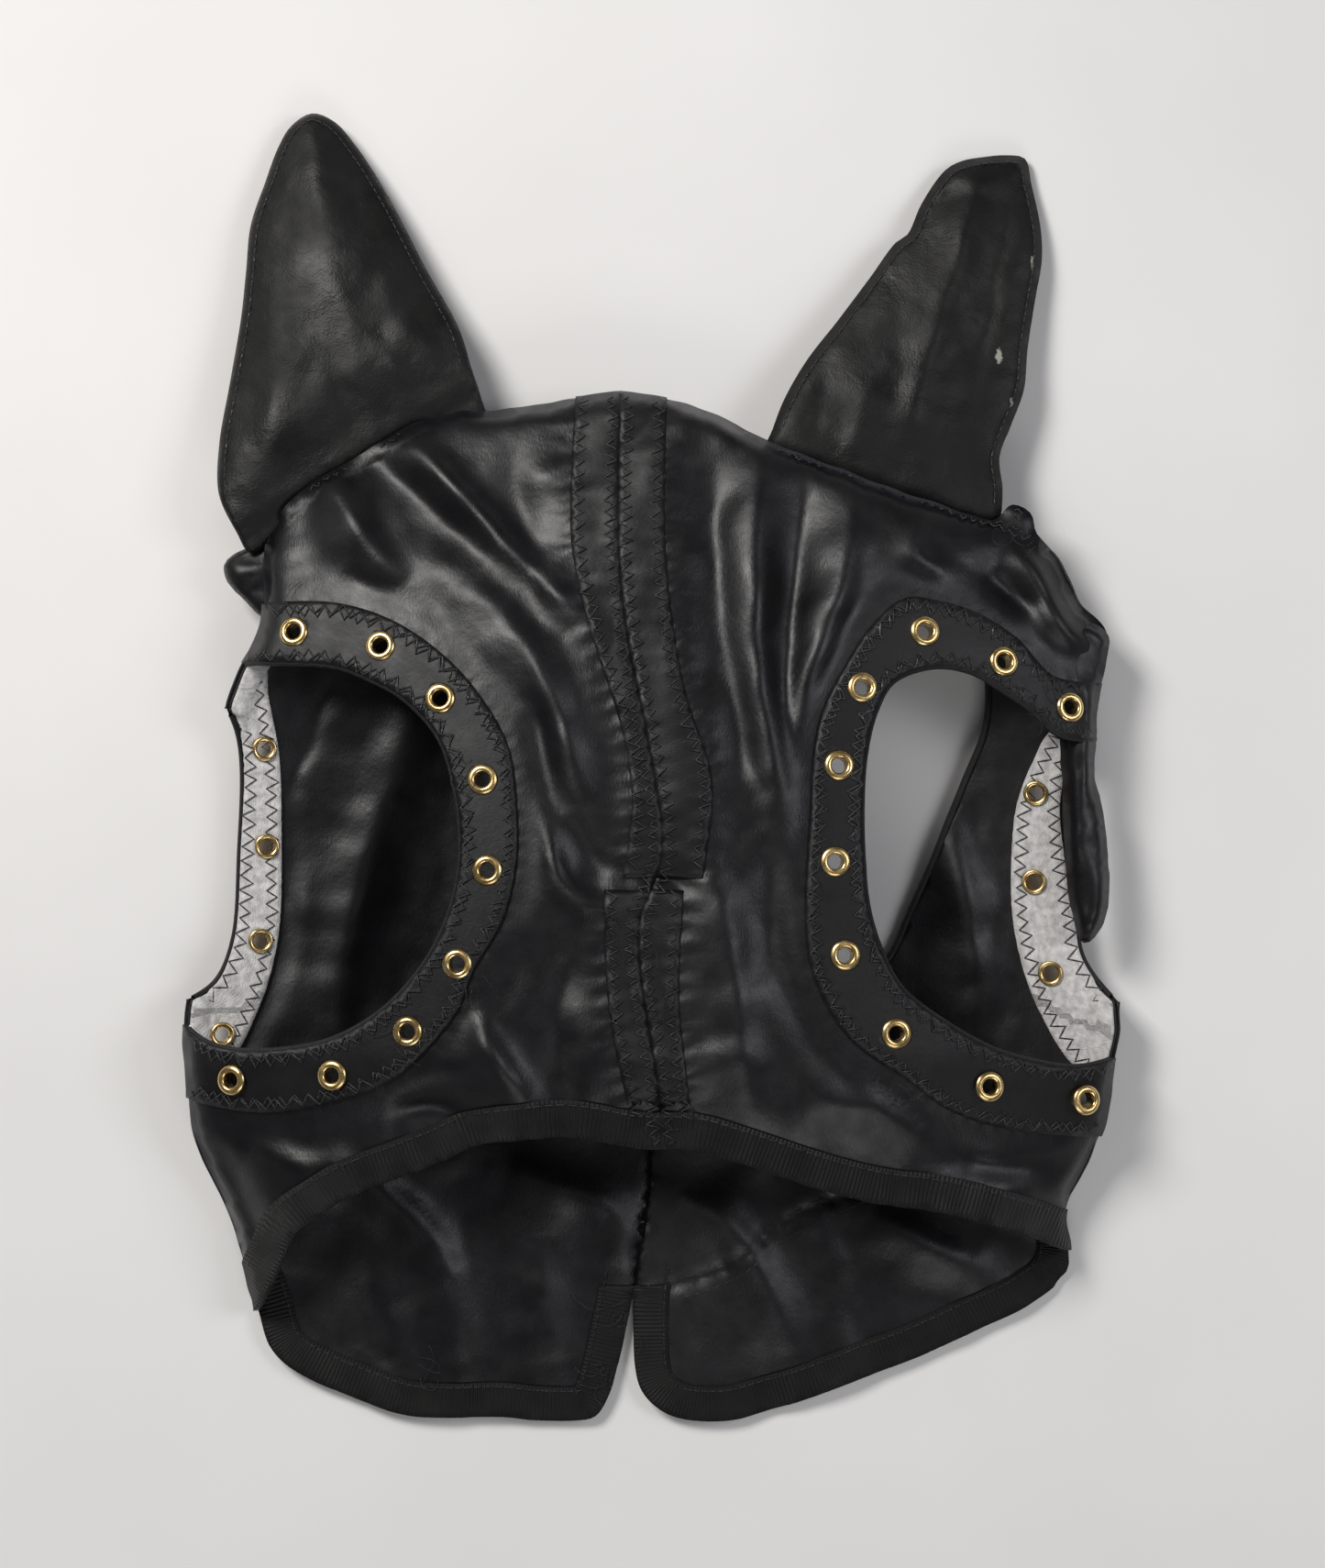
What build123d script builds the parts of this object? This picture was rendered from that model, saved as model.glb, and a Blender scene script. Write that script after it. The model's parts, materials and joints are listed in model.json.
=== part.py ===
"""A black satin hood with two pointed ears, lying on its back as it is laid out on a table.

Frame: millimetres, +Z up from the table, +X to the hood's right as it lies, +Y from the neck
towards the ear tips, and the origin on the table under the middle of the whole object.
The front layer is a shallow dome. The back layer is its mirror, much flatter, resting on the
table. Both close at the sides and over the crown, and they part at the neck.
"""

from build123d import *
from math import hypot
import os

# ---- Driving dimensions ------------------------------------------------------------------
# Rounded plan that both layers follow
SIDE_REACH = 155.0  # half width at which the layers would meet
CROWN_REACH = 190.0  # from the shoulder line up to where they would meet at the crown
SHOULDER_Y = -60.0  # below this line the width no longer shapes the crown
ROUNDING = 2.4
# Heights above the table
FRONT_SIDE_Z = 20.0
FRONT_RISE = 32.0
BACK_CENTRE_Z = 0.2
BACK_LIFT = 15.8
BACK_POWER = 1.6
SPLIT_Z = 18.0  # front pieces end here at the sides, and back pieces begin
# The back layer lies flat from the neck line down, raised by the ribbon under it
FLAT_FROM_Y = -118.0
FLAT_TO_Y = -150.0
RIBBON_CLEAR = 0.9
# Cloth and trim
PANEL_T = 1.2
BAND_T = 1.2
FELT_T = 1.5
STRIP_T = 0.8
RIBBON_T = 0.8
# Brass eyelets
EYELET_HOLE_R = 2.4
EYELET_BARREL_R = 3.0
EYELET_FLANGE_R = 4.7
EYELET_FLANGE_T = 0.8
EYELET_ROLL_R = 3.9
EYELET_ROLL_T = 0.6
EYELET_SEAT_CLEAR = 0.05
EYELET_SLACK = 0.1
# Ears
EAR_SEAM_Z = 18.0
EAR_DROOP = 0.135  # fall of the ear's middle surface for each millimetre from its seam
EAR_COVER_T = 1.2
EAR_EDGE_GAP = 0.9
EAR_STIFFENER_T = 1.0
EAR_EDGE_WALL = 1.6
EAR_STIFFENER_SETBACK = 4.0
LEFT_EAR_LOFT = 6.5
RIGHT_EAR_LOFT = 4.5
# Hinge lines of the two neck flaps, and the slot each leaves
FLAP_SLOT = 1.6
LEFT_FLAP_LINE = ((-180.0, -174.0), (-5.7, -168.0))
RIGHT_FLAP_LINE = ((-5.7, -168.0), (180.0, -144.9))
# Working space
TOP_Z = 90.0
BOTTOM_Z = -20.0
GRID = 12.0
HOOD_MIDDLE = (0.0, -40.0)
OUTSIDE_X = 200.0
FAR = 400.0

# ---- Outlines, seen from above -----------------------------------------------------------
CROWN = [
    (-121.5, 54), (-121, 70), (-114, 83), (-72, 109.3), (-60, 113.5), (-51.4, 112.5), (-24.6, 115.7),
    (5.7, 115.3), (37, 101), (60, 92.7), (90, 82), (112, 74.3), (120.3, 71), (128, 65),
]
RIGHT_SIDE = [(135, 51.6), (143, 38), (146, -10), (147, -60), (146, -95), (140, -122), (134, -146)]
LEFT_SIDE = [
    (-127, -174), (-131, -152), (-138, -132), (-144, -112), (-146, -86), (-141, -52), (-139, -20),
    (-133, 25),
]
HOOD_FOOT = [(150, -250), (-150, -250)]

FRONT_HEM = [
    (-160, -190), (-125, -172), (-111, -145.6), (-91, -132), (-63.7, -121.3), (-24.6, -113.8),
    (13, -117.3), (54, -130.7), (101.3, -141), (128, -151.3), (165, -166),
]
FRONT_RIBBON_TOP = [
    (-118, -153), (-104, -132.5), (-86, -120.3), (-60, -110), (-24.6, -102.3),
    (14.5, -105.8), (57.5, -119.3), (101.3, -128.5), (124, -137),
]
CENTRE_SEAM = [(-9, 140), (-10, 67.6), (-1.4, 10.4), (3.4, -26.7), (-3.5, -48), (2.9, -104), (3, -140)]

UPPER_LEFT_STRIP = [(-23.4, 112), (-24.3, 67.6), (-17.7, 39), (-8.6, 10.4), (-5.7, -12.4), (-8.6, -32)]
UPPER_RIGHT_STRIP = [(5, 112), (4.3, 67.6), (10, 24.7), (18.6, -4), (16, -32)]
LOWER_LEFT_STRIP = [(-14.3, -36), (-12.9, -72.4), (-5.7, -101)]
LOWER_RIGHT_STRIP = [(10, -36), (8.6, -69.6), (12.9, -101)]
SEAM_CLEAR = 0.15

LEFT_FRONT_FREE = [
    (-126, 32), (-97.4, 31), (-76, 21), (-62.5, 3), (-58, -23.6), (-65, -53), (-84, -76),
    (-111, -87), (-133, -87.5), (-147, -78),
]
LEFT_FRONT_OUTER = [
    (-122, 51.5), (-97.4, 50.7), (-63.7, 34.4), (-43.6, 6), (-41, -29), (-54.3, -62.6),
    (-67.7, -85.6), (-97.4, -103), (-121.7, -107), (-146, -103),
]
LEFT_REAR_FREE = [(-133, 30), (-130.5, 10), (-130.5, -29), (-132.5, -55), (-138, -68), (-147, -76)]
LEFT_REAR_INNER = [
    (-121, 51), (-116, 30), (-113.5, 0), (-114, -32), (-116, -55), (-121, -78), (-132, -99),
    (-146, -104),
]
RIGHT_FRONT_FREE = [
    (142, 9), (127, 10), (106.9, 25), (88, 31), (74.6, 26.4), (65.7, 3.6), (65, -29), (70.3, -56),
    (90.6, -78.7), (118.9, -91.3), (147, -90),
]
RIGHT_FRONT_OUTER = [
    (142, 28), (125.7, 28), (113.4, 40), (100, 48), (78.6, 52), (59.7, 30.4), (50.3, 6), (47.4, -42.4),
    (55, -77), (78.6, -96), (112.3, -112.4), (146, -116),
]
RIGHT_REAR_FREE = [(142, 10), (133, 5), (130, -9.6), (131.4, -29.6), (137, -61), (147, -82)]
RIGHT_REAR_INNER = [(142, 28), (124, 22), (114, -2), (112.5, -29.6), (117, -61), (127, -90), (146, -115)]

BACK_OPENING = [
    (-25, 56), (-38, 10), (-34, -50), (-18, -92), (-1.5, -106), (18, -103), (50, -90), (75.7, -61),
    (88.6, -32.4), (100, -3.9), (106.5, 24), (98, 48), (80, 56),
]
BACK_CROWN_Y = 56.0
CENTRE_BACK = [(-1.5, -100), (-1.5, -129.6), (-5.7, -168)]

LEFT_FLAP_HEM = [
    (-127.7, -160), (-121.7, -184), (-106, -196), (-77.4, -206), (-47.7, -207.5), (-26, -207.6),
    (-15, -203), (-10.5, -193), (-7.6, -160),
]
LEFT_RIBBON_INNER = [
    (-121, -160), (-116, -176), (-98.6, -187), (-71, -195.3), (-45.7, -197.2), (-27, -195),
    (-19, -186), (-16.5, -160),
]
RIGHT_FLAP_HEM = [
    (-3.8, -160), (-3.4, -192), (1.5, -203), (12, -207.6), (33.7, -206), (66.9, -194.6),
    (103.7, -179.3), (128, -165), (133.5, -152), (133.5, -140),
]
RIGHT_RIBBON_INNER = [
    (5, -160), (5.5, -186), (14, -195.5), (28.6, -195.3), (50.3, -189.6), (92.3, -171.6),
    (121, -155.5), (128, -140),
]

LEFT_EAR_SEAM = ((-76.0, 110.4), (-116.6, 85.0))
RIGHT_EAR_SEAM = ((119.7, 74.7), (36.9, 104.0))
LEFT_EAR = [
    (-56.5, 124), (-60.6, 138), (-71, 157), (-83, 180), (-93, 196), (-108, 208), (-118.6, 198),
    (-127, 172), (-129.7, 142), (-133, 121), (-136, 102), (-134.5, 88), (-128.6, 79.3),
]
LEFT_EAR_SPREAD = ((-146.0, 72.0), (-44.0, 118.0), (-108.0, 226.0))
RIGHT_EAR = [
    (38.4, 104.6), (49, 128), (69.4, 155), (83, 176), (93.7, 190), (108, 195), (119.5, 192),
    (124, 165), (118.5, 130), (112, 98), (110.4, 79.1),
]
RIGHT_EAR_SPREAD = ((30.0, 106.0), (124.0, 68.0), (112.0, 214.0))

LEFT_FRONT_EYELETS = [
    (-110.9, 42), (-83.4, 37.3), (-64.6, 21), (-51.4, -3.9), (-49.9, -31.6), (-59.1, -60.3),
    (-74.4, -81.1), (-98, -94.9), (-130.3, -97.2),
]
LEFT_REAR_EYELETS = [(-123.2, 6), (-122.5, -25), (-124.5, -55), (-136.5, -84.5)]
RIGHT_FRONT_EYELETS = [
    (84.6, 41.9), (109.4, 32.7), (64.9, 24.4), (57.6, 0.4), (56.4, -29), (59.4, -57.6),
    (75.1, -81.7), (104.3, -98.5), (135.4, -103.6), (130.6, 18.6),
]
RIGHT_REAR_EYELETS = [(122.6, -8.1), (122.1, -36.3), (127.3, -65.3)]


# ---- Surfaces ----------------------------------------------------------------------------
def plan_radius(x, y):
    """0 over the middle of the hood and 1 where its two layers would meet."""
    across = abs(x) / SIDE_REACH
    along = max(y - SHOULDER_Y, 0) / CROWN_REACH
    return across**ROUNDING + along**ROUNDING


def front_height(x, y):
    """Outer face of the front panels."""
    return FRONT_SIDE_Z + FRONT_RISE * (1 - plan_radius(x, y))


def back_height(x, y):
    """Outer, lower face of the back panels."""
    flat = min(max((FLAT_FROM_Y - y) / (FLAT_FROM_Y - FLAT_TO_Y), 0), 1)
    flat = flat * flat * (3 - 2 * flat)
    curl = BACK_LIFT * plan_radius(x, y) ** BACK_POWER
    return BACK_CENTRE_Z + curl * (1 - flat) + RIBBON_CLEAR * flat


def sheet(height, x_span, y_span, shift=0.0):
    """A face over a rectangle, at the given height and moved up by shift."""
    columns = round((x_span[1] - x_span[0]) / GRID)
    rows = round((y_span[1] - y_span[0]) / GRID)
    points = []
    for i in range(columns + 1):
        x = x_span[0] + (x_span[1] - x_span[0]) * i / columns
        line = []
        for j in range(rows + 1):
            y = y_span[0] + (y_span[1] - y_span[0]) * j / rows
            line.append(Vector(x, y, height(x, y)))
        points.append(line)
    return Face.make_surface_from_array_of_points(points).moved(Location((0, 0, shift)))


HOOD_X = (-172.0, 172.0)
HOOD_Y = (-236.0, 136.0)
FRONT_FACE = sheet(front_height, HOOD_X, HOOD_Y)
BACK_FACE = sheet(back_height, HOOD_X, HOOD_Y)


def layer(face, low, high):
    """The solid between a face moved to low and the same face moved to high."""
    with BuildPart() as part:
        extrude(face.moved(Location((0, 0, low))), amount=high - low, dir=(0, 0, 1))
    return part.part


# ---- Regions -----------------------------------------------------------------------------
def column(curve, corners=(), low=BOTTOM_Z, high=TOP_Z):
    """A tall solid over the region between a smooth curve and the straight way back to its start."""
    with BuildPart() as part:
        with BuildSketch(Plane.XY.offset(low)):
            with BuildLine():
                edge = Spline(*curve)
                Polyline(edge @ 1, *corners, edge @ 0)
            make_face()
        extrude(amount=high - low)
    return part.part


def half_plane(line, depth, low=BOTTOM_Z, high=TOP_Z):
    """A tall solid over everything within depth on the left of a line."""
    (x0, y0), (x1, y1) = line
    length = hypot(x1 - x0, y1 - y0)
    nx, ny = -(y1 - y0) / length * depth, (x1 - x0) / length * depth
    with BuildPart() as part:
        with BuildSketch(Plane.XY.offset(low)):
            with BuildLine():
                Polyline((x0, y0), (x1, y1), (x1 + nx, y1 + ny), (x0 + nx, y0 + ny), close=True)
            make_face()
        extrude(amount=high - low)
    return part.part


def shifted(line, amount):
    """A line moved to its left by amount."""
    (x0, y0), (x1, y1) = line
    length = hypot(x1 - x0, y1 - y0)
    nx, ny = -(y1 - y0) / length * amount, (x1 - x0) / length * amount
    return ((x0 + nx, y0 + ny), (x1 + nx, y1 + ny))


def grown(points, middle, amount):
    """Points moved away from a middle by amount."""
    out = []
    for x, y in points:
        far = hypot(x - middle[0], y - middle[1])
        out.append((x + (x - middle[0]) / far * amount, y + (y - middle[1]) / far * amount))
    return out


def hood_shape(grow):
    """The closed outer shape of the hood, larger all round by grow."""
    round_edge = grown(LEFT_SIDE + CROWN + RIGHT_SIDE, HOOD_MIDDLE, grow)
    with BuildPart() as part:
        add(column(round_edge, HOOD_FOOT))
        add(layer(FRONT_FACE, -TOP_Z, grow), mode=Mode.INTERSECT)
        add(layer(BACK_FACE, -grow, TOP_Z), mode=Mode.INTERSECT)
    return part.part


LEFT_FRONT_HOLE = column(LEFT_FRONT_FREE, [(-OUTSIDE_X, -78), (-OUTSIDE_X, 32)], low=SPLIT_Z)
LEFT_REAR_HOLE = column(LEFT_REAR_FREE, [(-OUTSIDE_X, -76), (-OUTSIDE_X, 30)], high=SPLIT_Z)
RIGHT_FRONT_HOLE = column(RIGHT_FRONT_FREE, [(OUTSIDE_X, -90), (OUTSIDE_X, 9)], low=SPLIT_Z)
RIGHT_REAR_HOLE = column(RIGHT_REAR_FREE, [(OUTSIDE_X, -82), (OUTSIDE_X, 10)], high=SPLIT_Z)
LEFT_FRONT_RING = column(LEFT_FRONT_OUTER, [(-OUTSIDE_X, -103), (-OUTSIDE_X, 51.5)], low=SPLIT_Z)
LEFT_REAR_RING = column(LEFT_REAR_INNER, [(-OUTSIDE_X, -104), (-OUTSIDE_X, 51)], high=SPLIT_Z)
RIGHT_FRONT_RING = column(RIGHT_FRONT_OUTER, [(OUTSIDE_X, -116), (OUTSIDE_X, 28)], low=SPLIT_Z)
RIGHT_REAR_RING = column(RIGHT_REAR_INNER, [(OUTSIDE_X, -115), (OUTSIDE_X, 28)], high=SPLIT_Z)

OUTER = hood_shape(BAND_T)
HOOD = hood_shape(0)
INNER = hood_shape(-PANEL_T)
INNERMOST = hood_shape(-PANEL_T - FELT_T)

with BuildPart() as panel_skin:
    add(HOOD)
    add(INNER, mode=Mode.SUBTRACT)

ABOVE_FRONT_HEM = column(FRONT_HEM, [(OUTSIDE_X, 200), (-OUTSIDE_X, 200)], low=SPLIT_Z)
LEFT_OF_SEAM = column(CENTRE_SEAM, [(3, -260), (-OUTSIDE_X, -260), (-OUTSIDE_X, 140)])
LEFT_OF_CENTRE_BACK = column(
    CENTRE_BACK, [(-5.7, -190), (-OUTSIDE_X, -190), (-OUTSIDE_X, 100), (-1.5, 100)]
)
BACK_HOLE = column(BACK_OPENING, high=SPLIT_Z)


# ---- Eyelets -----------------------------------------------------------------------------
def eyelet_planes(front, rear):
    """One plane for each eyelet, on the band's outer face, with its normal pointing out of the hood."""
    planes = []
    for places, height, side in ((front, front_height, 1), (rear, back_height, -1)):
        for x, y in places:
            slope_x = (height(x + 1, y) - height(x - 1, y)) / 2
            slope_y = (height(x, y + 1) - height(x, y - 1)) / 2
            normal = Vector(-slope_x, -slope_y, 1) * side
            along = Vector(1, 0, slope_x)
            lift = side * (BAND_T + EYELET_SEAT_CLEAR)
            planes.append(Plane((x, y, height(x, y) + lift), x_dir=along, z_dir=normal))
    return planes


LEFT_EYELET_PLANES = eyelet_planes(LEFT_FRONT_EYELETS, LEFT_REAR_EYELETS)
RIGHT_EYELET_PLANES = eyelet_planes(RIGHT_FRONT_EYELETS, RIGHT_REAR_EYELETS)
STACK_T = BAND_T + PANEL_T + FELT_T + EYELET_SLACK

with BuildPart() as eyelet:
    Cylinder(EYELET_FLANGE_R, EYELET_FLANGE_T, align=(Align.CENTER, Align.CENTER, Align.MIN))
    fillet(eyelet.edges().group_by(Axis.Z)[-1], EYELET_FLANGE_T * 0.6)
    with BuildSketch():
        Circle(EYELET_BARREL_R)
    extrude(amount=-STACK_T - EYELET_ROLL_T)
    with BuildSketch(Plane.XY.offset(-STACK_T)):
        Circle(EYELET_ROLL_R)
    extrude(amount=-EYELET_ROLL_T)
    with BuildSketch(Plane.XY.offset(EYELET_FLANGE_T)):
        Circle(EYELET_HOLE_R)
    extrude(amount=-STACK_T - EYELET_ROLL_T - EYELET_FLANGE_T, mode=Mode.SUBTRACT)

# The hole punched through the layers for one eyelet
with BuildPart() as eyelet_room:
    Cylinder(EYELET_BARREL_R + EYELET_SEAT_CLEAR, 5 * STACK_T)


def finish(part, name):
    """Label a finished piece and write it out."""
    part.label = name
    export_step(part, f"parts/{name}.step")


os.makedirs("parts", exist_ok=True)

with BuildPart() as left_eyelets:
    with Locations(*LEFT_EYELET_PLANES):
        add(eyelet.part)
finish(left_eyelets.part, "left_eyelets")

with BuildPart() as right_eyelets:
    with Locations(*RIGHT_EYELET_PLANES):
        add(eyelet.part)
finish(right_eyelets.part, "right_eyelets")


# ---- Front layer -------------------------------------------------------------------------
with BuildPart() as front_left_panel:
    add(panel_skin.part)
    add(ABOVE_FRONT_HEM, mode=Mode.INTERSECT)
    add(LEFT_OF_SEAM, mode=Mode.INTERSECT)
    add(LEFT_FRONT_HOLE, mode=Mode.SUBTRACT)
    with Locations(*LEFT_EYELET_PLANES[: len(LEFT_FRONT_EYELETS)]):
        add(eyelet_room.part, mode=Mode.SUBTRACT)
finish(front_left_panel.part, "front_left_panel")

with BuildPart() as front_right_panel:
    add(panel_skin.part)
    add(ABOVE_FRONT_HEM, mode=Mode.INTERSECT)
    add(LEFT_OF_SEAM, mode=Mode.SUBTRACT)
    add(RIGHT_FRONT_HOLE, mode=Mode.SUBTRACT)
    with Locations(*RIGHT_EYELET_PLANES[: len(RIGHT_FRONT_EYELETS)]):
        add(eyelet_room.part, mode=Mode.SUBTRACT)
finish(front_right_panel.part, "front_right_panel")


def seam_strip(name, curve, left):
    """One reinforcing strip, from the centre seam out to its stitched edge."""
    far = OUTSIDE_X if left else -OUTSIDE_X
    with BuildPart() as part:
        add(layer(FRONT_FACE, 0, STRIP_T))
        add(column(curve, [(far, curve[-1][1]), (far, curve[0][1])]), mode=Mode.INTERSECT)
        if left:
            add(LEFT_OF_SEAM.moved(Location((-SEAM_CLEAR, 0, 0))), mode=Mode.INTERSECT)
        else:
            add(LEFT_OF_SEAM.moved(Location((SEAM_CLEAR, 0, 0))), mode=Mode.SUBTRACT)
    finish(part.part, name)


seam_strip("upper_left_seam_strip", UPPER_LEFT_STRIP, True)
seam_strip("upper_right_seam_strip", UPPER_RIGHT_STRIP, False)
seam_strip("lower_left_seam_strip", LOWER_LEFT_STRIP, True)
seam_strip("lower_right_seam_strip", LOWER_RIGHT_STRIP, False)

with BuildPart() as front_hem_ribbon:
    add(layer(FRONT_FACE, -PANEL_T - RIBBON_T, RIBBON_T))
    add(column(grown(FRONT_HEM, (0, 400), RIBBON_T), [(OUTSIDE_X, 200), (-OUTSIDE_X, 200)]), mode=Mode.INTERSECT)
    ribbon_top = FRONT_RIBBON_TOP
    add(
        column(ribbon_top, [(ribbon_top[-1][0], -230), (ribbon_top[0][0], -230)]),
        mode=Mode.INTERSECT,
    )
    add(front_left_panel.part, mode=Mode.SUBTRACT)
    add(front_right_panel.part, mode=Mode.SUBTRACT)
finish(front_hem_ribbon.part, "front_hem_ribbon")


# ---- Back layer --------------------------------------------------------------------------
with BuildPart() as back_skin:
    add(panel_skin.part)
    with BuildSketch(Plane.XY.offset(BOTTOM_Z)):
        Rectangle(2 * OUTSIDE_X, 3 * OUTSIDE_X)
    extrude(amount=SPLIT_Z - BOTTOM_Z, mode=Mode.INTERSECT)
    add(BACK_HOLE, mode=Mode.SUBTRACT)

BACK_CROWN = half_plane(((-OUTSIDE_X, BACK_CROWN_Y), (OUTSIDE_X, BACK_CROWN_Y)), 200)

with BuildPart() as back_crown_panel:
    add(back_skin.part)
    add(BACK_CROWN, mode=Mode.INTERSECT)
finish(back_crown_panel.part, "back_crown_panel")

left_end, slit_top = shifted(LEFT_FLAP_LINE, FLAP_SLOT / 2)
right_end = shifted(RIGHT_FLAP_LINE, FLAP_SLOT / 2)[1]

with BuildPart() as lower_back:
    add(back_skin.part)
    add(BACK_CROWN, mode=Mode.SUBTRACT)
    with BuildSketch(Plane.XY.offset(BOTTOM_Z)):
        with BuildLine():
            Polyline(left_end, slit_top, right_end, (FAR, -FAR), (-FAR, -FAR), close=True)
        make_face()
    extrude(amount=TOP_Z - BOTTOM_Z, mode=Mode.SUBTRACT)

with BuildPart() as back_left_panel:
    add(lower_back.part)
    add(LEFT_OF_CENTRE_BACK, mode=Mode.INTERSECT)
    add(LEFT_REAR_HOLE, mode=Mode.SUBTRACT)
    with Locations(*LEFT_EYELET_PLANES[len(LEFT_FRONT_EYELETS) :]):
        add(eyelet_room.part, mode=Mode.SUBTRACT)
finish(back_left_panel.part, "back_left_panel")

with BuildPart() as back_right_panel:
    add(lower_back.part)
    add(LEFT_OF_CENTRE_BACK, mode=Mode.SUBTRACT)
    add(RIGHT_REAR_HOLE, mode=Mode.SUBTRACT)
    with Locations(*RIGHT_EYELET_PLANES[len(RIGHT_FRONT_EYELETS) :]):
        add(eyelet_room.part, mode=Mode.SUBTRACT)
finish(back_right_panel.part, "back_right_panel")


def neck_flap(name, hem, line):
    """The free end of a back panel, below its hinge line and inside its hem."""
    with BuildPart() as part:
        add(layer(BACK_FACE, 0, PANEL_T))
        add(column(hem), mode=Mode.INTERSECT)
        add(half_plane(shifted(line, -FLAP_SLOT / 2), FAR), mode=Mode.SUBTRACT)
    finish(part.part, name)
    return part.part


left_neck_flap = neck_flap("left_neck_flap", LEFT_FLAP_HEM, LEFT_FLAP_LINE)
right_neck_flap = neck_flap("right_neck_flap", RIGHT_FLAP_HEM, RIGHT_FLAP_LINE)


def flap_ribbon(name, flap, hem, inner, middle, line):
    """Ribbon folded over the free edge of a neck flap, on both of its faces."""
    with BuildPart() as part:
        add(layer(BACK_FACE, -RIBBON_T, PANEL_T + RIBBON_T))
        add(column(grown(hem, middle, RIBBON_T)), mode=Mode.INTERSECT)
        add(column(inner), mode=Mode.SUBTRACT)
        add(half_plane(shifted(line, -FLAP_SLOT / 2), FAR), mode=Mode.SUBTRACT)
        add(flap, mode=Mode.SUBTRACT)
    finish(part.part, name)


flap_ribbon("left_flap_ribbon", left_neck_flap, LEFT_FLAP_HEM, LEFT_RIBBON_INNER, (-65, -160), LEFT_FLAP_LINE)
flap_ribbon("right_flap_ribbon", right_neck_flap, RIGHT_FLAP_HEM, RIGHT_RIBBON_INNER, (60, -160), RIGHT_FLAP_LINE)


# ---- Edges of the two side openings ------------------------------------------------------
def edge_loop(name, outside, inside, front_ring, rear_ring, front_hole, rear_hole, planes):
    """A closed loop of band or facing round one side opening, on the front and on the back."""
    with BuildPart() as rings:
        add(front_ring)
        add(rear_ring)
    with BuildPart() as holes:
        add(front_hole)
        add(rear_hole)
    with BuildPart() as part:
        add(outside)
        add(inside, mode=Mode.SUBTRACT)
        add(rings.part, mode=Mode.INTERSECT)
        add(holes.part, mode=Mode.SUBTRACT)
        with Locations(*planes):
            add(eyelet_room.part, mode=Mode.SUBTRACT)
    finish(part.part, name)


LEFT_LOOP = (LEFT_FRONT_RING, LEFT_REAR_RING, LEFT_FRONT_HOLE, LEFT_REAR_HOLE, LEFT_EYELET_PLANES)
RIGHT_LOOP = (RIGHT_FRONT_RING, RIGHT_REAR_RING, RIGHT_FRONT_HOLE, RIGHT_REAR_HOLE, RIGHT_EYELET_PLANES)
edge_loop("left_eyelet_band", OUTER, HOOD, *LEFT_LOOP)
edge_loop("right_eyelet_band", OUTER, HOOD, *RIGHT_LOOP)
edge_loop("left_felt_facing", INNER, INNERMOST, *LEFT_LOOP)
edge_loop("right_felt_facing", INNER, INNERMOST, *RIGHT_LOOP)


# ---- Ears --------------------------------------------------------------------------------
def make_ear(side, outline, seam, spread, loft):
    """The front cover, back cover and stiffener of one ear, lying out from its seam and drooping a little."""
    (x0, y0), (x1, y1) = seam
    length = hypot(x1 - x0, y1 - y0)
    out_x, out_y = (y1 - y0) / length, -(x1 - x0) / length
    (ax, ay), (bx, by), (cx, cy) = spread
    area = (bx - ax) * (cy - ay) - (cx - ax) * (by - ay)

    def middle_height(x, y):
        out = (x - x0) * out_x + (y - y0) * out_y
        return EAR_SEAM_Z - EAR_DROOP * out

    def puff(x, y):
        share_b = ((x - ax) * (cy - ay) - (cx - ax) * (y - ay)) / area
        share_c = ((bx - ax) * (y - ay) - (x - ax) * (by - ay)) / area
        share_a = 1 - share_b - share_c
        swell = 27 * max(share_a, 0) * max(share_b, 0) * max(share_c, 0)
        return EAR_EDGE_GAP + loft * swell

    xs = [p[0] for p in outline]
    ys = [p[1] for p in outline]
    x_span = (min(xs) - 6, max(xs) + 6)
    y_span = (min(ys) - 6, max(ys) + 6)
    middle = (sum(xs) / len(xs), sum(ys) / len(ys))
    centre = sheet(middle_height, x_span, y_span)
    front = sheet(lambda x, y: middle_height(x, y) + puff(x, y), x_span, y_span)
    back = sheet(lambda x, y: middle_height(x, y) - puff(x, y), x_span, y_span)
    whole = column(outline)
    hollow = column(grown(outline, middle, -EAR_EDGE_WALL))

    with BuildPart() as front_cover:
        add(layer(front, -TOP_Z, EAR_COVER_T))
        add(layer(centre, 0, TOP_Z), mode=Mode.INTERSECT)
        add(whole, mode=Mode.INTERSECT)
        with BuildPart(mode=Mode.PRIVATE) as front_room:
            add(layer(front, -TOP_Z, 0))
            add(hollow, mode=Mode.INTERSECT)
        add(front_room.part, mode=Mode.SUBTRACT)
    finish(front_cover.part, f"{side}_ear_front")

    with BuildPart() as back_cover:
        add(layer(back, -EAR_COVER_T, TOP_Z))
        add(layer(centre, -TOP_Z, 0), mode=Mode.INTERSECT)
        add(whole, mode=Mode.INTERSECT)
        with BuildPart(mode=Mode.PRIVATE) as back_room:
            add(layer(back, 0, TOP_Z))
            add(hollow, mode=Mode.INTERSECT)
        add(back_room.part, mode=Mode.SUBTRACT)
    finish(back_cover.part, f"{side}_ear_back")

    with BuildPart() as stiffener:
        add(layer(centre, -EAR_STIFFENER_T / 2, EAR_STIFFENER_T / 2))
        add(column(grown(outline, middle, -EAR_STIFFENER_SETBACK)), mode=Mode.INTERSECT)
    finish(stiffener.part, f"{side}_ear_stiffener")


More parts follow.
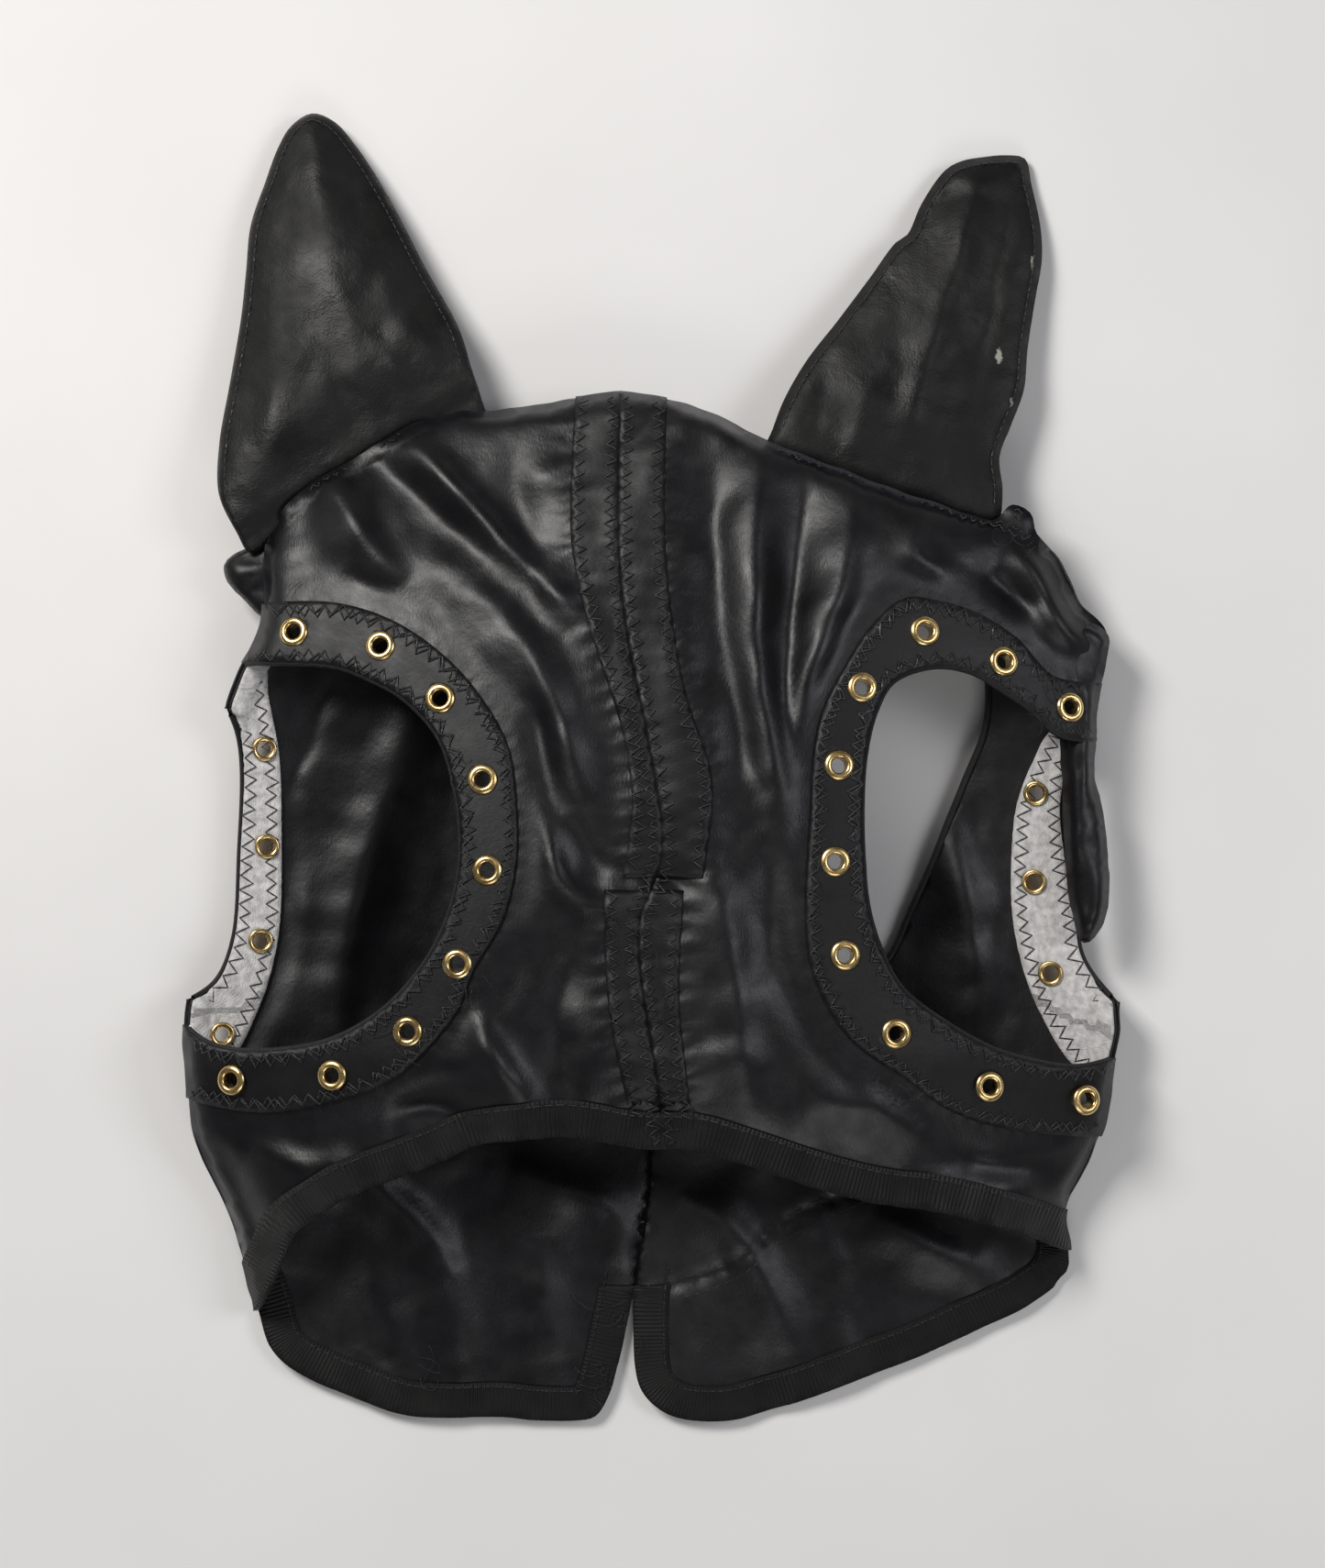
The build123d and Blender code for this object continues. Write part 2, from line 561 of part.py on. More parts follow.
make_ear("left", LEFT_EAR, LEFT_EAR_SEAM, LEFT_EAR_SPREAD, LEFT_EAR_LOFT)
make_ear("right", RIGHT_EAR, RIGHT_EAR_SEAM, RIGHT_EAR_SPREAD, RIGHT_EAR_LOFT)
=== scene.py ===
"""The look of a black satin hood with two ears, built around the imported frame. Lengths are millimetres
until a mesh is made, and every cloth piece is cut from one sheet of triangles for its layer."""

import json
import math

import bpy
import numpy as np
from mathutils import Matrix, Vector, noise
from mathutils.geometry import delaunay_2d_cdt


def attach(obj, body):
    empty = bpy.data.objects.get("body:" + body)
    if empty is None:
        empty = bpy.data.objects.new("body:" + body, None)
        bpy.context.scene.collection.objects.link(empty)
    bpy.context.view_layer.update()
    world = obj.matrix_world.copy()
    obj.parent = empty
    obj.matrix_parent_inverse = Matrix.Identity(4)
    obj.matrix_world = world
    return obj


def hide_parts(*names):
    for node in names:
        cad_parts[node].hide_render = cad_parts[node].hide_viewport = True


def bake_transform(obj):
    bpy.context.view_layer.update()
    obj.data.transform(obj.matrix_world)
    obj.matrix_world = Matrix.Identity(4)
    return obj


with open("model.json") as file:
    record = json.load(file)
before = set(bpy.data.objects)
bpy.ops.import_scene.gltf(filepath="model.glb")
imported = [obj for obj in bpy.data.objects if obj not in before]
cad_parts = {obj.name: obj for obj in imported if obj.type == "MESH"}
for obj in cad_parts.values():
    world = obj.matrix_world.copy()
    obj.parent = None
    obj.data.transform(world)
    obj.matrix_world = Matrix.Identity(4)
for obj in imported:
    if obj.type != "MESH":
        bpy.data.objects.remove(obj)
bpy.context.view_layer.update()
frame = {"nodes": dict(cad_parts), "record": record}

MM = 0.001
SPACING = 2.1  # between points of the cloth
CURVE_STEP = 1.6

# ---- Shape of the two layers, as the CAD panels have it -----------------------------------
SIDE_REACH, CROWN_REACH, SHOULDER_Y, ROUNDING = 155.0, 190.0, -60.0, 2.4
FRONT_SIDE_Z = 20.0
FRONT_RISE = 32.0
BACK_CENTRE_Z, BACK_LIFT, BACK_POWER = 0.2, 15.8, 1.6
FLAT_FROM_Y, FLAT_TO_Y, RIBBON_CLEAR = -118.0, -150.0, 0.9
EDGE_Z = 18.0
PANEL_T = 1.2

# ---- Outlines from above ------------------------------------------------------------------
SILHOUETTE = [
    (-51.4, 112), (-24.6, 115.7), (-9.7, 117.3), (5.7, 115.3), (20.9, 110.5), (37, 102), (60, 93), (90, 82.3),
    (107, 77.5), (113, 82), (118.5, 79.5), (120.8, 73), (128, 65.6), (135, 51.6), (142.9, 42.7), (142.6, 34),
    (139.8, 22), (139.2, 8), (141.5, -10), (145.5, -50), (146.5, -84), (144.6, -95), (142.6, -110), (139, -123), (131.5, -141),
    (133, -152.4), (133, -158.7), (128, -168), (126, -260), (-128, -260), (-125.8, -172), (-127.7, -164.7),
    (-132, -148), (-138, -132.4), (-142, -123.3), (-144.6, -114), (-145.4, -99), (-146, -85.6), (-145, -70),
    (-141, -52), (-139, -20), (-136, 5), (-130, 28), (-123, 41.3), (-121.2, 50), (-121.6, 60),
    (-121, 71), (-114.5, 81.5), (-104, 90), (-93, 96.6), (-72, 109), (-60, 112.8),
]
FRONT_HEM = [
    (-160, -205), (-125, -172), (-116.6, -157.3), (-111, -145.6), (-101.7, -138.3), (-91, -132), (-77.4, -126.7),
    (-63.7, -121.3), (-54.3, -117), (-40.6, -114.4), (-24.6, -113.4), (-4.6, -116.7), (13, -117.3),
    (24.9, -120.7), (38.9, -125.6), (54, -130.7), (69.4, -134.7), (87, -137.3), (101.3, -141),
    (116.6, -146), (128, -151.3), (165, -168),
]
FRONT_RIBBON_W = 11.5
CENTRE_SEAM = [(-9, 140), (-10, 67.6), (-7, 39), (-1.4, 10.4), (3.4, -26.7), (-3.5, -48), (-3, -64), (2.9, -104), (3, -140)]
UPPER_LEFT_STRIP = [(-23.4, 125), (-24.3, 67.6), (-17.7, 39), (-8.6, 10.4), (-5.7, -12.4), (-8.6, -34)]
UPPER_RIGHT_STRIP = [(5, 125), (4.3, 67.6), (10, 24.7), (18.6, -4), (16, -34)]
LOWER_LEFT_STRIP = [(-14.3, -38), (-12.9, -72.4), (-5.7, -110)]
LOWER_RIGHT_STRIP = [(10, -38), (8.6, -69.6), (12.9, -110)]

HOLES = {
    "left": {
        "front_free": [
            (-136, 32), (-120, 32.4), (-97.4, 31), (-86.7, 27), (-76, 21), (-65, 9), (-59.7, -7.3), (-58, -23.6),
            (-59.7, -38.4), (-65, -53), (-73, -65.3), (-84, -76), (-97.4, -83.6), (-111, -87), (-128.6, -88),
            (-139, -85.5), (-150, -78),
        ],
        "front_outer": [
            (-140, 51), (-117.7, 51.3), (-97.4, 50.7), (-80, 45.3), (-63.7, 34.4), (-51.7, 21), (-43.6, 6),
            (-41, -12.7), (-41, -29), (-45, -46.4), (-54.3, -62.6), (-58.3, -73.3), (-67.7, -85.6),
            (-80, -96.3), (-97.4, -103), (-121.7, -107), (-155, -102),
        ],
        "rear_free": [(-140, 33), (-130.5, 10), (-130.5, -29), (-132.5, -55), (-138, -68), (-150, -76)],
        "rear_outer": [
            (-140, 46), (-124.5, 40), (-121.5, 22), (-118.4, 4), (-117.6, -26), (-118, -47), (-120.2, -62),
            (-125.5, -78), (-135, -94), (-155, -101),
        ],
        "far": -230,
    },
    "right": {
        "front_free": [
            (155, 8), (127, 10), (118.9, 17), (106.9, 25), (100, 29), (88, 31), (74.6, 26.4), (69, 17), (65.7, 3.6),
            (64.6, -12.7), (65, -29), (66.3, -42.4), (70.3, -56), (77, -68), (90.6, -78.7), (105.4, -87),
            (118.9, -91.3), (132.4, -93.3), (155, -89),
        ],
        "front_outer": [
            (155, 27), (125.7, 28), (113.4, 40), (100, 48), (86.6, 51.6), (78.6, 52), (67.7, 42.7), (59.7, 30.4),
            (53.4, 18.4), (50.3, 6), (48.9, -15.3), (47.4, -42.4), (49.4, -62.6), (60, -82), (78.6, -96),
            (92, -105.7), (112.3, -112.4), (155, -117),
        ],
        "rear_free": [(155, 9), (135, 6), (130, -9.6), (131.4, -29.6), (134.3, -46.7), (137, -61), (155, -84)],
        "rear_outer": [
            (155, 22), (128, 13), (120.5, 0), (116.2, -12.4), (114.8, -26.7), (115, -46.7), (118.4, -64),
            (124.3, -79), (133, -93), (155, -110),
        ],
        "far": 230,
    },
}
BACK_OPENING = [
    (-25, 56), (-38, 10), (-34, -50), (-18, -92), (-1.5, -106), (18, -103), (50, -90), (75.7, -61),
    (82.3, -46.7), (88.6, -32.4), (94.3, -18), (100, -3.9), (106.3, 13.3), (106, 32), (98, 48), (80, 56),
]
BACK_CROWN_Y = 56.0
CENTRE_BACK = [(-0.6, -90), (-0.6, -129.6), (-3.1, -150), (-5.65, -168)]
NECK_SEAM = [(-5, -168), (23, -159.5), (40, -146.7), (64, -135), (100, -122)]
LEFT_FLAP_HEM = [
    (-134, -150), (-127.7, -164.7), (-125.4, -172), (-121.7, -184), (-116.6, -190), (-106, -196), (-92.3, -201.7),
    (-77.4, -206.4), (-47.7, -207), (-37, -208), (-24, -208.2), (-17.7, -206.8), (-13.4, -200), (-10.8, -191),
    (-7.8, -178), (-5.9, -168), (-3.3, -150), (-2.0, -140),
]
RIGHT_FLAP_HEM = [
    (-1.7, -140), (-3.0, -150), (-5.4, -168), (-5.6, -178), (-5.2, -190), (-3, -198.5), (3.1, -204.7), (10.7, -207.7), (24.9, -208),
    (33.7, -206), (50.3, -201), (66.9, -194.6), (84.6, -188), (103.7, -179.3), (121.7, -170.4),
    (130.5, -163.5), (133.5, -156), (133.5, -140),
]
FLAP_RIBBON_W = 11.0
SLIT_TOP = (-5.7, -168.0)
FLAP_ENDS = {"left": (-125.4, -172.1), "right": (131.0, -151.0)}
FLAP_REACH = 12.0  # how far past its hinge line the flap's stitching may run, less 2 mm

EARS = {
    "left": {
        "seam": ((-76.0, 110.4), (-116.6, 85.0)),
        "outline": [
            (-51.5, 107), (-53.5, 116), (-56.8, 126), (-60.6, 138), (-71, 157), (-83, 180), (-93, 196), (-101, 205.3), (-108, 208),
            (-114.5, 204), (-118.6, 197), (-122.5, 186), (-127, 172), (-128.3, 157), (-129.7, 142), (-133, 121),
            (-136, 102), (-135.7, 86), (-130.3, 74.4), (-126, 67.5), (-116, 76), (-104, 88), (-82, 100), (-62, 106),
        ],
        "loft": 7.5,
        "folds": [([(-106, 196), (-101, 165), (-92, 128)], 1.2, 7.0), ([(-121, 92), (-118, 120), (-120, 150)], 1.0, 5.0),
                  ([(-74, 116), (-80, 131), (-90, 142)], -1.1, 3.5), ([(-92, 104), (-97, 118), (-101, 126)], -1.1, 3.5)],
    },
    "right": {
        "seam": ((119.7, 74.7), (36.9, 104.0)),
        "outline": [
            (35.5, 98), (38.2, 106), (41.8, 115.3), (49, 128), (59, 141), (69.4, 155), (77.7, 166.4), (81.4, 169), (86, 179),
            (93.7, 190), (99, 193), (105.7, 194.3), (113, 195), (119, 194), (121, 185.6), (123.7, 171.6),
            (124, 161.3), (121.7, 148.4), (119, 132), (117.7, 119.3), (113.4, 107.7), (109.6, 97.6), (110.3, 86),
            (108, 76), (90, 79), (62, 88), (44, 93),
        ],
        "loft": 4.8,
        "folds": [([(104, 192), (99, 168), (90, 138), (80, 104)], 3.4, 5.5), ([(113, 186), (109, 160), (103, 128), (99, 100)], -2.4, 5.5),
                  ([(84, 172), (94, 182), (112, 180)], -1.5, 4.0), ([(62, 96), (66, 112), (72, 124)], 1.3, 4.0),
                  ([(50, 104), (56, 122)], -1.2, 4.0)],
    },
}

# Folds of the front: points from above, height (a hollow is negative) and half width
FRONT_FOLDS = [
    ([(-104, 95), (-92, 76), (-77, 56)], 4.6, 6.5),
    ([(-95, 62), (-83, 50), (-70, 47)], -2.4, 6.0),
    ([(-77, 104), (-54, 79), (-36, 60), (-20, 44.7)], 4.4, 5.5),
    ([(-92, 100), (-70, 82), (-50, 62)], -3.6, 8.0),
    ([(-44, 96), (-38, 70), (-36, 40)], -2.6, 9.0),
    ([(-58, 60), (-40, 40), (-27, 12), (-22, -14)], 3.0, 6.5),
    ([(-36, 24), (-32, -6), (-34, -30)], -2.2, 6.0),
    ([(34, 98), (33, 67), (34.3, 22), (42.9, -17)], 4.6, 6.5),
    ([(63, 86), (60, 60), (50, 22), (45.7, -12)], 4.0, 5.5),
    ([(48, 90), (45, 60), (42, 24), (44, -2)], -4.2, 6.0),
    ([(20, 96), (20, 66), (24, 30), (31, -6)], -3.0, 7.0),
    ([(84, 77), (82, 66), (92, 58)], 2.8, 5.0),
    ([(113, 70), (121, 58), (128, 44), (138, 36)], 4.2, 5.0),
    ([(104, 60), (112, 54), (118, 46)], -4.0, 6.0),
    ([(-35, -8), (-31, -24), (-26, -36), (-17, -42.4), (-4, -39.6)], 3.6, 4.5),
    ([(-24, -14), (-20, -26), (-12, -34)], -2.2, 5.0),
    ([(18, -30), (24, -50), (27, -78), (30, -108)], 2.6, 7.0),
    ([(36, -20), (40, -52), (52, -84), (72, -112)], -2.6, 8.0),
    ([(-57, -70), (-50, -84), (-37, -104)], 4.2, 5.0),
    ([(-82, -104), (-64, -106), (-46, -119)], -4.8, 9.0),
    ([(-24, -56), (-28, -80), (-26, -104)], -2.6, 7.0),
    ([(-126, -118), (-108, -124), (-88, -122)], 3.0, 7.0),
    ([(-134, -122), (-126, -142), (-118, -154)], -2.4, 6.0),
    ([(44, -104), (64, -104), (86, -116)], 3.4, 12.0),
    ([(96, -122), (116, -124), (132, -118)], -2.6, 7.0),
    ([(76, -124), (104, -130), (128, -134)], 2.0, 6.0),
    ([(12, -38), (2, -33), (-12, -33)], -1.4, 2.5),
]
# Folds of the back, seen from inside
BACK_FOLDS = [
    ([(-100, 30), (-112, 4), (-124, -14)], -2.0, 5.0),
    ([(-70, 34), (-84, -10), (-96, -52), (-100, -90)], 3.8, 9.0),
    ([(-50, 30), (-58, -20), (-66, -70)], -2.0, 8.0),
    ([(-112, -112), (-84, -136), (-70, -150), (-62, -172), (-60, -192)], 4.0, 7.0),
    ([(-46, -128), (-30, -134), (-12, -142), (-9, -160)], 3.2, 8.0),
    ([(-92, -160), (-88, -176), (-84, -192)], -1.4, 5.0),
    ([(-36, -150), (-34, -170), (-30, -190)], 1.6, 7.0),
    ([(8, -136), (24, -146), (38, -168), (44, -188)], 2.8, 7.0),
    ([(70, -142), (88, -152), (108, -160)], 2.4, 6.0),
    ([(96, -20), (100, -44), (104, -70)], 3.0, 6.0),
]


# ---- Plane geometry -----------------------------------------------------------------------
def smooth(points, closed=False, step=CURVE_STEP):
    """A smooth curve through the points, as evenly spaced samples."""
    p = np.array(points, float)
    n = len(p)
    spans = n if closed else n - 1
    out = []
    for i in range(spans):
        if closed:
            a, b, c, d = p[(i - 1) % n], p[i], p[(i + 1) % n], p[(i + 2) % n]
        else:
            b, c = p[i], p[i + 1]
            a = p[i - 1] if i else 2 * b - c
            d = p[i + 2] if i + 2 < n else 2 * c - b
        k1, k2, k3 = (max(np.linalg.norm(q - r), 1e-6) ** 0.5 for q, r in ((b, a), (c, b), (d, c)))
        m1 = (c - b) + k2 * ((b - a) / k1 - (c - a) / (k1 + k2))
        m2 = (c - b) + k2 * ((d - c) / k3 - (d - b) / (k2 + k3))
        count = max(int(np.linalg.norm(c - b) / step), 2)
        for t in np.arange(count) / count:
            h = (2 * t**3 - 3 * t**2 + 1, t**3 - 2 * t**2 + t, -2 * t**3 + 3 * t**2, t**3 - t**2)
            out.append(h[0] * b + h[1] * m1 + h[2] * c + h[3] * m2)
    if not closed:
        out.append(p[-1])
    return np.array(out)


def inside(poly, pts):
    """Which points lie in a polygon."""
    x, y = pts[:, 0], pts[:, 1]
    hit = np.zeros(len(pts), bool)
    x0, y0 = poly[-1]
    for x1, y1 in poly:
        if y0 != y1:
            cross = ((y1 > y) != (y0 > y)) & (x < (x0 - x1) * (y - y1) / (y0 - y1) + x1)
            hit ^= cross
        x0, y0 = x1, y1
    return hit


class Route:
    """A curve that can be asked how far points are from it and how far along it they lie."""

    def __init__(self, points, closed=False, raw=False):
        self.p = np.array(points, float) if raw else smooth(points, closed)
        if closed:
            self.p = np.vstack([self.p, self.p[:1]])
        self.d = np.diff(self.p, axis=0)
        self.len = np.maximum(np.linalg.norm(self.d, axis=1), 1e-9)
        self.s = np.concatenate([[0], np.cumsum(self.len)])
        self.length = self.s[-1]

    def near(self, pts):
        """Distance, distance along, and side (positive on the left) of each point."""
        best = np.full(len(pts), 1e9)
        along = np.zeros(len(pts))
        side = np.zeros(len(pts))
        for i in range(len(self.d)):
            rel = pts - self.p[i]
            t = np.clip(rel @ self.d[i] / self.len[i] ** 2, 0, 1)
            off = rel - t[:, None] * self.d[i]
            far = np.hypot(off[:, 0], off[:, 1])
            take = far < best
            best[take] = far[take]
            along[take] = (self.s[i] + t * self.len[i])[take]
            side[take] = (self.d[i][0] * rel[:, 1] - self.d[i][1] * rel[:, 0])[take]
        return best, along, np.sign(side)

    def at(self, s):
        """Points and unit left normals at distances along."""
        s = np.clip(s, 0, self.length)
        i = np.clip(np.searchsorted(self.s, s) - 1, 0, len(self.d) - 1)
        t = ((s - self.s[i]) / self.len[i])[:, None]
        left = np.stack([-self.d[i][:, 1], self.d[i][:, 0]], 1) / self.len[i][:, None]
        return self.p[i] + t * self.d[i], left


def ramp(x, low, high):
    t = np.clip((x - low) / (high - low), 0, 1)
    return t * t * (3 - 2 * t)


def closed_by(points, corners):
    """The polygon of a smooth curve and the straight way back over some corners."""
    return np.vstack([smooth(points), np.array(corners, float)])


def uneven(points, height=0.45, scale=7.0):
    """The small unevenness of a hand-sewn edge."""
    shift = [noise.noise_vector(Vector((x / scale, y / scale, 4.0))) for x, y in points]
    return points + height * np.array([(v.x, v.y) for v in shift])


HULL = uneven(smooth(SILHOUETTE, closed=True))
EDGE = Route(HULL, closed=True, raw=True)
HEM = Route(FRONT_HEM)
SEAM = Route(CENTRE_SEAM)
ABOVE_HEM = closed_by(FRONT_HEM, [(230, 240), (-230, 240)])
LEFT_HALF = closed_by(CENTRE_SEAM, [(-230, -240), (-230, 240)])
BACK_GAP = smooth(BACK_OPENING, closed=True)
LEFT_BACK_HALF = closed_by(CENTRE_BACK, [(-5.7, -230), (-230, -230), (-230, 100), (-0.6, 100)])
FLAP_ROUTE = {"left": Route(LEFT_FLAP_HEM), "right": Route(RIGHT_FLAP_HEM)}
FLAP_AREA = {side: route.p for side, route in FLAP_ROUTE.items()}
STRIP_ROUTES = [Route(c) for c in (UPPER_LEFT_STRIP, UPPER_RIGHT_STRIP, LOWER_LEFT_STRIP, LOWER_RIGHT_STRIP)]
LOOP = {}
for side, given in HOLES.items():
    far = given["far"]
    LOOP[side] = {
        name: closed_by(given[name], [(far, given[name][-1][1]), (far, given[name][0][1])])
        for name in ("front_free", "front_outer", "rear_free", "rear_outer")
    }
    for name in ("front_free", "front_outer", "rear_free", "rear_outer"):
        LOOP[side][name + "_route"] = Route(given[name])


BACK_SEAMS = [Route(CENTRE_BACK), Route(NECK_SEAM)]
EAR_JOINS = [Route([ear["seam"][0], ear["seam"][1]], raw=True) for ear in EARS.values()]


# ---- Heights ------------------------------------------------------------------------------
def plan_radius(p):
    across = np.abs(p[:, 0]) / SIDE_REACH
    along = np.maximum(p[:, 1] - SHOULDER_Y, 0) / CROWN_REACH
    return across**ROUNDING + along**ROUNDING


def fold_height(p, folds):
    z = np.zeros(len(p))
    for points, height, width in folds:
        route = Route(points)
        far, along, side = route.near(p)
        t = along / route.length
        end = np.sqrt(np.clip(np.sin(np.pi * np.clip(t, 0.02, 0.98)), 0, 1))
        skew = np.where(side > 0, 0.78, 1.25)
        z += height * end * np.exp(-((far / (width * skew)) ** 1.6))
    return z


def wrinkles(p, scale, height, seed):
    out = np.zeros(len(p))
    for i, (x, y) in enumerate(p):
        bend = noise.noise(Vector((x / 55, y / 55, seed))) * 1.6
        out[i] = noise.noise(Vector((x / scale + bend, y / scale - bend, seed + 3.1)))
        out[i] += 0.45 * noise.noise(Vector((x / scale * 2.3, y / scale * 1.9 + bend, seed + 7.7)))
    return out * height


def pucker(p, routes, pitch, reach, height):
    z = np.zeros(len(p))
    for k, route in enumerate(routes):
        far, along, side = route.near(p)
        phase = 2.2 * np.sin(along / 23.0 + k)
        z += height * np.sin(2 * np.pi * along / pitch + phase + 0.6 * side) * np.exp(-((far / reach) ** 2))
    return z


def calm(p):
    """1 away from the eyelet bands and 0 on them, so that the eyelets stay seated."""
    out = np.ones(len(p))
    for side in HOLES:
        for part in ("front_free_route", "front_outer_route"):
            out *= ramp(LOOP[side][part].near(p)[0], 2.0, 13.0)
        band = inside(LOOP[side]["front_outer"], p)
        out[band] = 0.0
    return out


def edge_round(p):
    """0 at the silhouette, rising to 1 over the rounded fold at the side of the hood."""
    far = EDGE.near(p)[0]
    low = ramp(-p[:, 1], 100, 150)
    reach = 8.0 + 22.0 * low
    t = np.clip(far / reach, 0, 1)
    return np.sqrt(np.clip(1 - (1 - t) ** 2, 0, 1)), low


EAR_JOIN_RISE = 4.9  # how much higher the front's edge lies where an ear is sewn to it


def front_z(p):
    rounded, low = edge_round(p)
    by_ear = np.max([1 - ramp(route.near(p)[0], 3.5, 9.0) for route in EAR_JOINS], axis=0)
    edge = EDGE_Z - 13.5 * low + EAR_JOIN_RISE * by_ear
    z = FRONT_SIDE_Z + FRONT_RISE * (1 - plan_radius(p))
    z -= 9.0 * ramp(-p[:, 1], 86, 132)
    quiet = calm(p)
    z += quiet * (1.25 * fold_height(p, FRONT_FOLDS) + wrinkles(p, 23.0, 1.7, 2.0))
    z += pucker(p, EAR_JOINS, 5.6, 5.0, 0.6)
    z += pucker(p, [SEAM, *STRIP_ROUTES], 6.2, 4.5, 0.42) * ramp(quiet, 0, 0.5)
    z += pucker(p, [HEM], 11.0, 9.0, 0.5)
    for side in HOLES:
        z += pucker(p, [LOOP[side]["front_free_route"], LOOP[side]["front_outer_route"]], 5.2, 2.2, 0.2)
    return edge + (z - edge) * rounded


def back_z(p):
    rounded, low = edge_round(p)
    edge = EDGE_Z - 13.5 * low
    flat = ramp(FLAT_FROM_Y - p[:, 1], 0, FLAT_FROM_Y - FLAT_TO_Y)
    z = BACK_CENTRE_Z + BACK_LIFT * plan_radius(p) ** BACK_POWER * (1 - flat) + RIBBON_CLEAR * flat
    quiet = np.ones(len(p))
    for side in HOLES:
        quiet *= ramp(LOOP[side]["rear_outer_route"].near(p)[0], 0.0, 9.0)
        quiet[inside(LOOP[side]["rear_outer"], p) & (p[:, 1] < 60)] = 0.0
    folds = 1.3 * fold_height(p, BACK_FOLDS) + wrinkles(p, 24.0, 1.4, 9.0)
    for k, route in enumerate(BACK_SEAMS):
        far, along, _ = route.near(p)
        folds += (0.5 * np.sin(along / 1.3 + k) - 0.9) * np.exp(-((far / 2.0) ** 2))
    z = np.maximum(z + quiet * folds + 1.3 * quiet, z)
    beyond = p[:, 1] < -150
    rounded = np.where(beyond, np.maximum(rounded, ramp(-p[:, 1], 150, 162)), rounded)
    return edge + (z - edge) * rounded


# ---- One sheet of triangles for a layer ----------------------------------------------------
class Layer:
    def __init__(self, height, curves, up, area=HULL, rings=(0.5, 1.3, 2.6)):
        self.up = up
        pts, edges = [], []
        for curve, closed in curves:
            start = len(pts)
            pts += [tuple(q) for q in curve]
            edges += [(start + i, start + i + 1) for i in range(len(curve) - 1)]
            if closed:
                edges.append((start + len(curve) - 1, start))
        lo, hi = area.min(0) - 4, area.max(0) + 4
        lo[1] = max(lo[1], -216)
        xs = np.arange(lo[0], hi[0], SPACING)
        ys = np.arange(lo[1], hi[1], SPACING * 0.866)
        grid = np.array([(x + SPACING / 2 * (j % 2), y) for j, y in enumerate(ys) for x in xs])
        grid = grid[inside(area, grid)]
        border = Route(area, closed=True, raw=True)
        keep = border.near(grid)[0] > rings[-1] + 0.8
        for curve, closed in curves:
            keep &= Route(curve, raw=True).near(grid)[0] > SPACING * 0.45
        pts += [tuple(q) for q in grid[keep]]
        for ring in rings:
            spots, left = border.at(np.arange(0, border.length, SPACING))
            spots = spots + left * ring
            spots = spots[inside(area, spots) & (border.near(spots)[0] > ring * 0.8)]
            pts += [tuple(q) for q in spots]
        found = delaunay_2d_cdt([Vector(q) for q in pts], edges, [], 0, 0.02)
        self.flat = np.array([(v.x, v.y) for v in found[0]])
        tris = np.array([tuple(f) for f in found[2]])
        middle = self.flat[tris].mean(1)
        tris = tris[inside(area, middle)]
        a, b, c = (self.flat[tris[:, k]] for k in range(3))
        turn = (b[:, 0] - a[:, 0]) * (c[:, 1] - a[:, 1]) - (b[:, 1] - a[:, 1]) * (c[:, 0] - a[:, 0])
        tris = tris[np.abs(turn) > 1e-3]
        turn = turn[np.abs(turn) > 1e-3]
        flip = (turn > 0) != (up > 0)
        tris[flip] = tris[flip][:, ::-1]
        self.tris = tris
        self.middle = self.flat[tris].mean(1)
        self.z = height(self.flat)
        self.p = np.column_stack([self.flat, self.z])
        a, b, c = (self.p[tris[:, k]] for k in range(3))
        face = np.cross(b - a, c - a)
        self.n = np.zeros_like(self.p)
        for k in range(3):
            np.add.at(self.n, tris[:, k], face)
        size = np.linalg.norm(self.n, axis=1)
        self.n[size > 0] /= size[size > 0][:, None]
        self.n[size == 0] = (0, 0, up)

    def keep(self, chosen):
        self.tris = self.tris[chosen]
        self.middle = self.middle[chosen]

    def cut(self, chosen, lift=0.0):
        """Points and triangles of the chosen faces, moved out along the cloth's normal."""
        tris = self.tris[chosen]
        used, again = np.unique(tris, return_inverse=True)
        return self.p[used] + self.n[used] * lift, again.reshape(tris.shape), self.flat[used]


def make_mesh(name, parts, routes=None):
    """One mesh object from a list of (points, triangles, flat points), with UVs along a route if given."""
    points, tris, flats, start = [], [], [], 0
    for p, t, flat in parts:
        points.append(p)
        tris.append(t + start)
        flats.append(flat)
        start += len(p)
    points, tris, flats = np.vstack(points), np.vstack(tris), np.vstack(flats)
    mesh = bpy.data.meshes.new(name)
    mesh.from_pydata([tuple(q) for q in points * MM], [], [tuple(int(i) for i in t) for t in tris])
    uv = mesh.uv_layers.new(name="UVMap")
    if routes is None:
        coords = flats * MM
    else:
        found = [r.near(flats) for r in routes]
        pick = np.argmin([f[0] for f in found], axis=0)
        s = np.choose(pick, [f[1] for f in found])
        d = np.choose(pick, [f[0] for f in found])
        coords = np.column_stack([s, d]) * MM
    loops = np.empty(len(mesh.loops), int)
    mesh.loops.foreach_get("vertex_index", loops)
    uv.data.foreach_set("uv", coords[loops].ravel())
    mesh.polygons.foreach_set("use_smooth", [True] * len(mesh.polygons))
    mesh.update()
    obj = bpy.data.objects.new(name, mesh)
    bpy.context.collection.objects.link(obj)
    return obj


def thicken(obj, thickness):
    mod = obj.modifiers.new("cloth", "SOLIDIFY")
    mod.thickness = thickness * MM
    mod.offset = 0.0
    mod.use_even_offset = False
    return obj


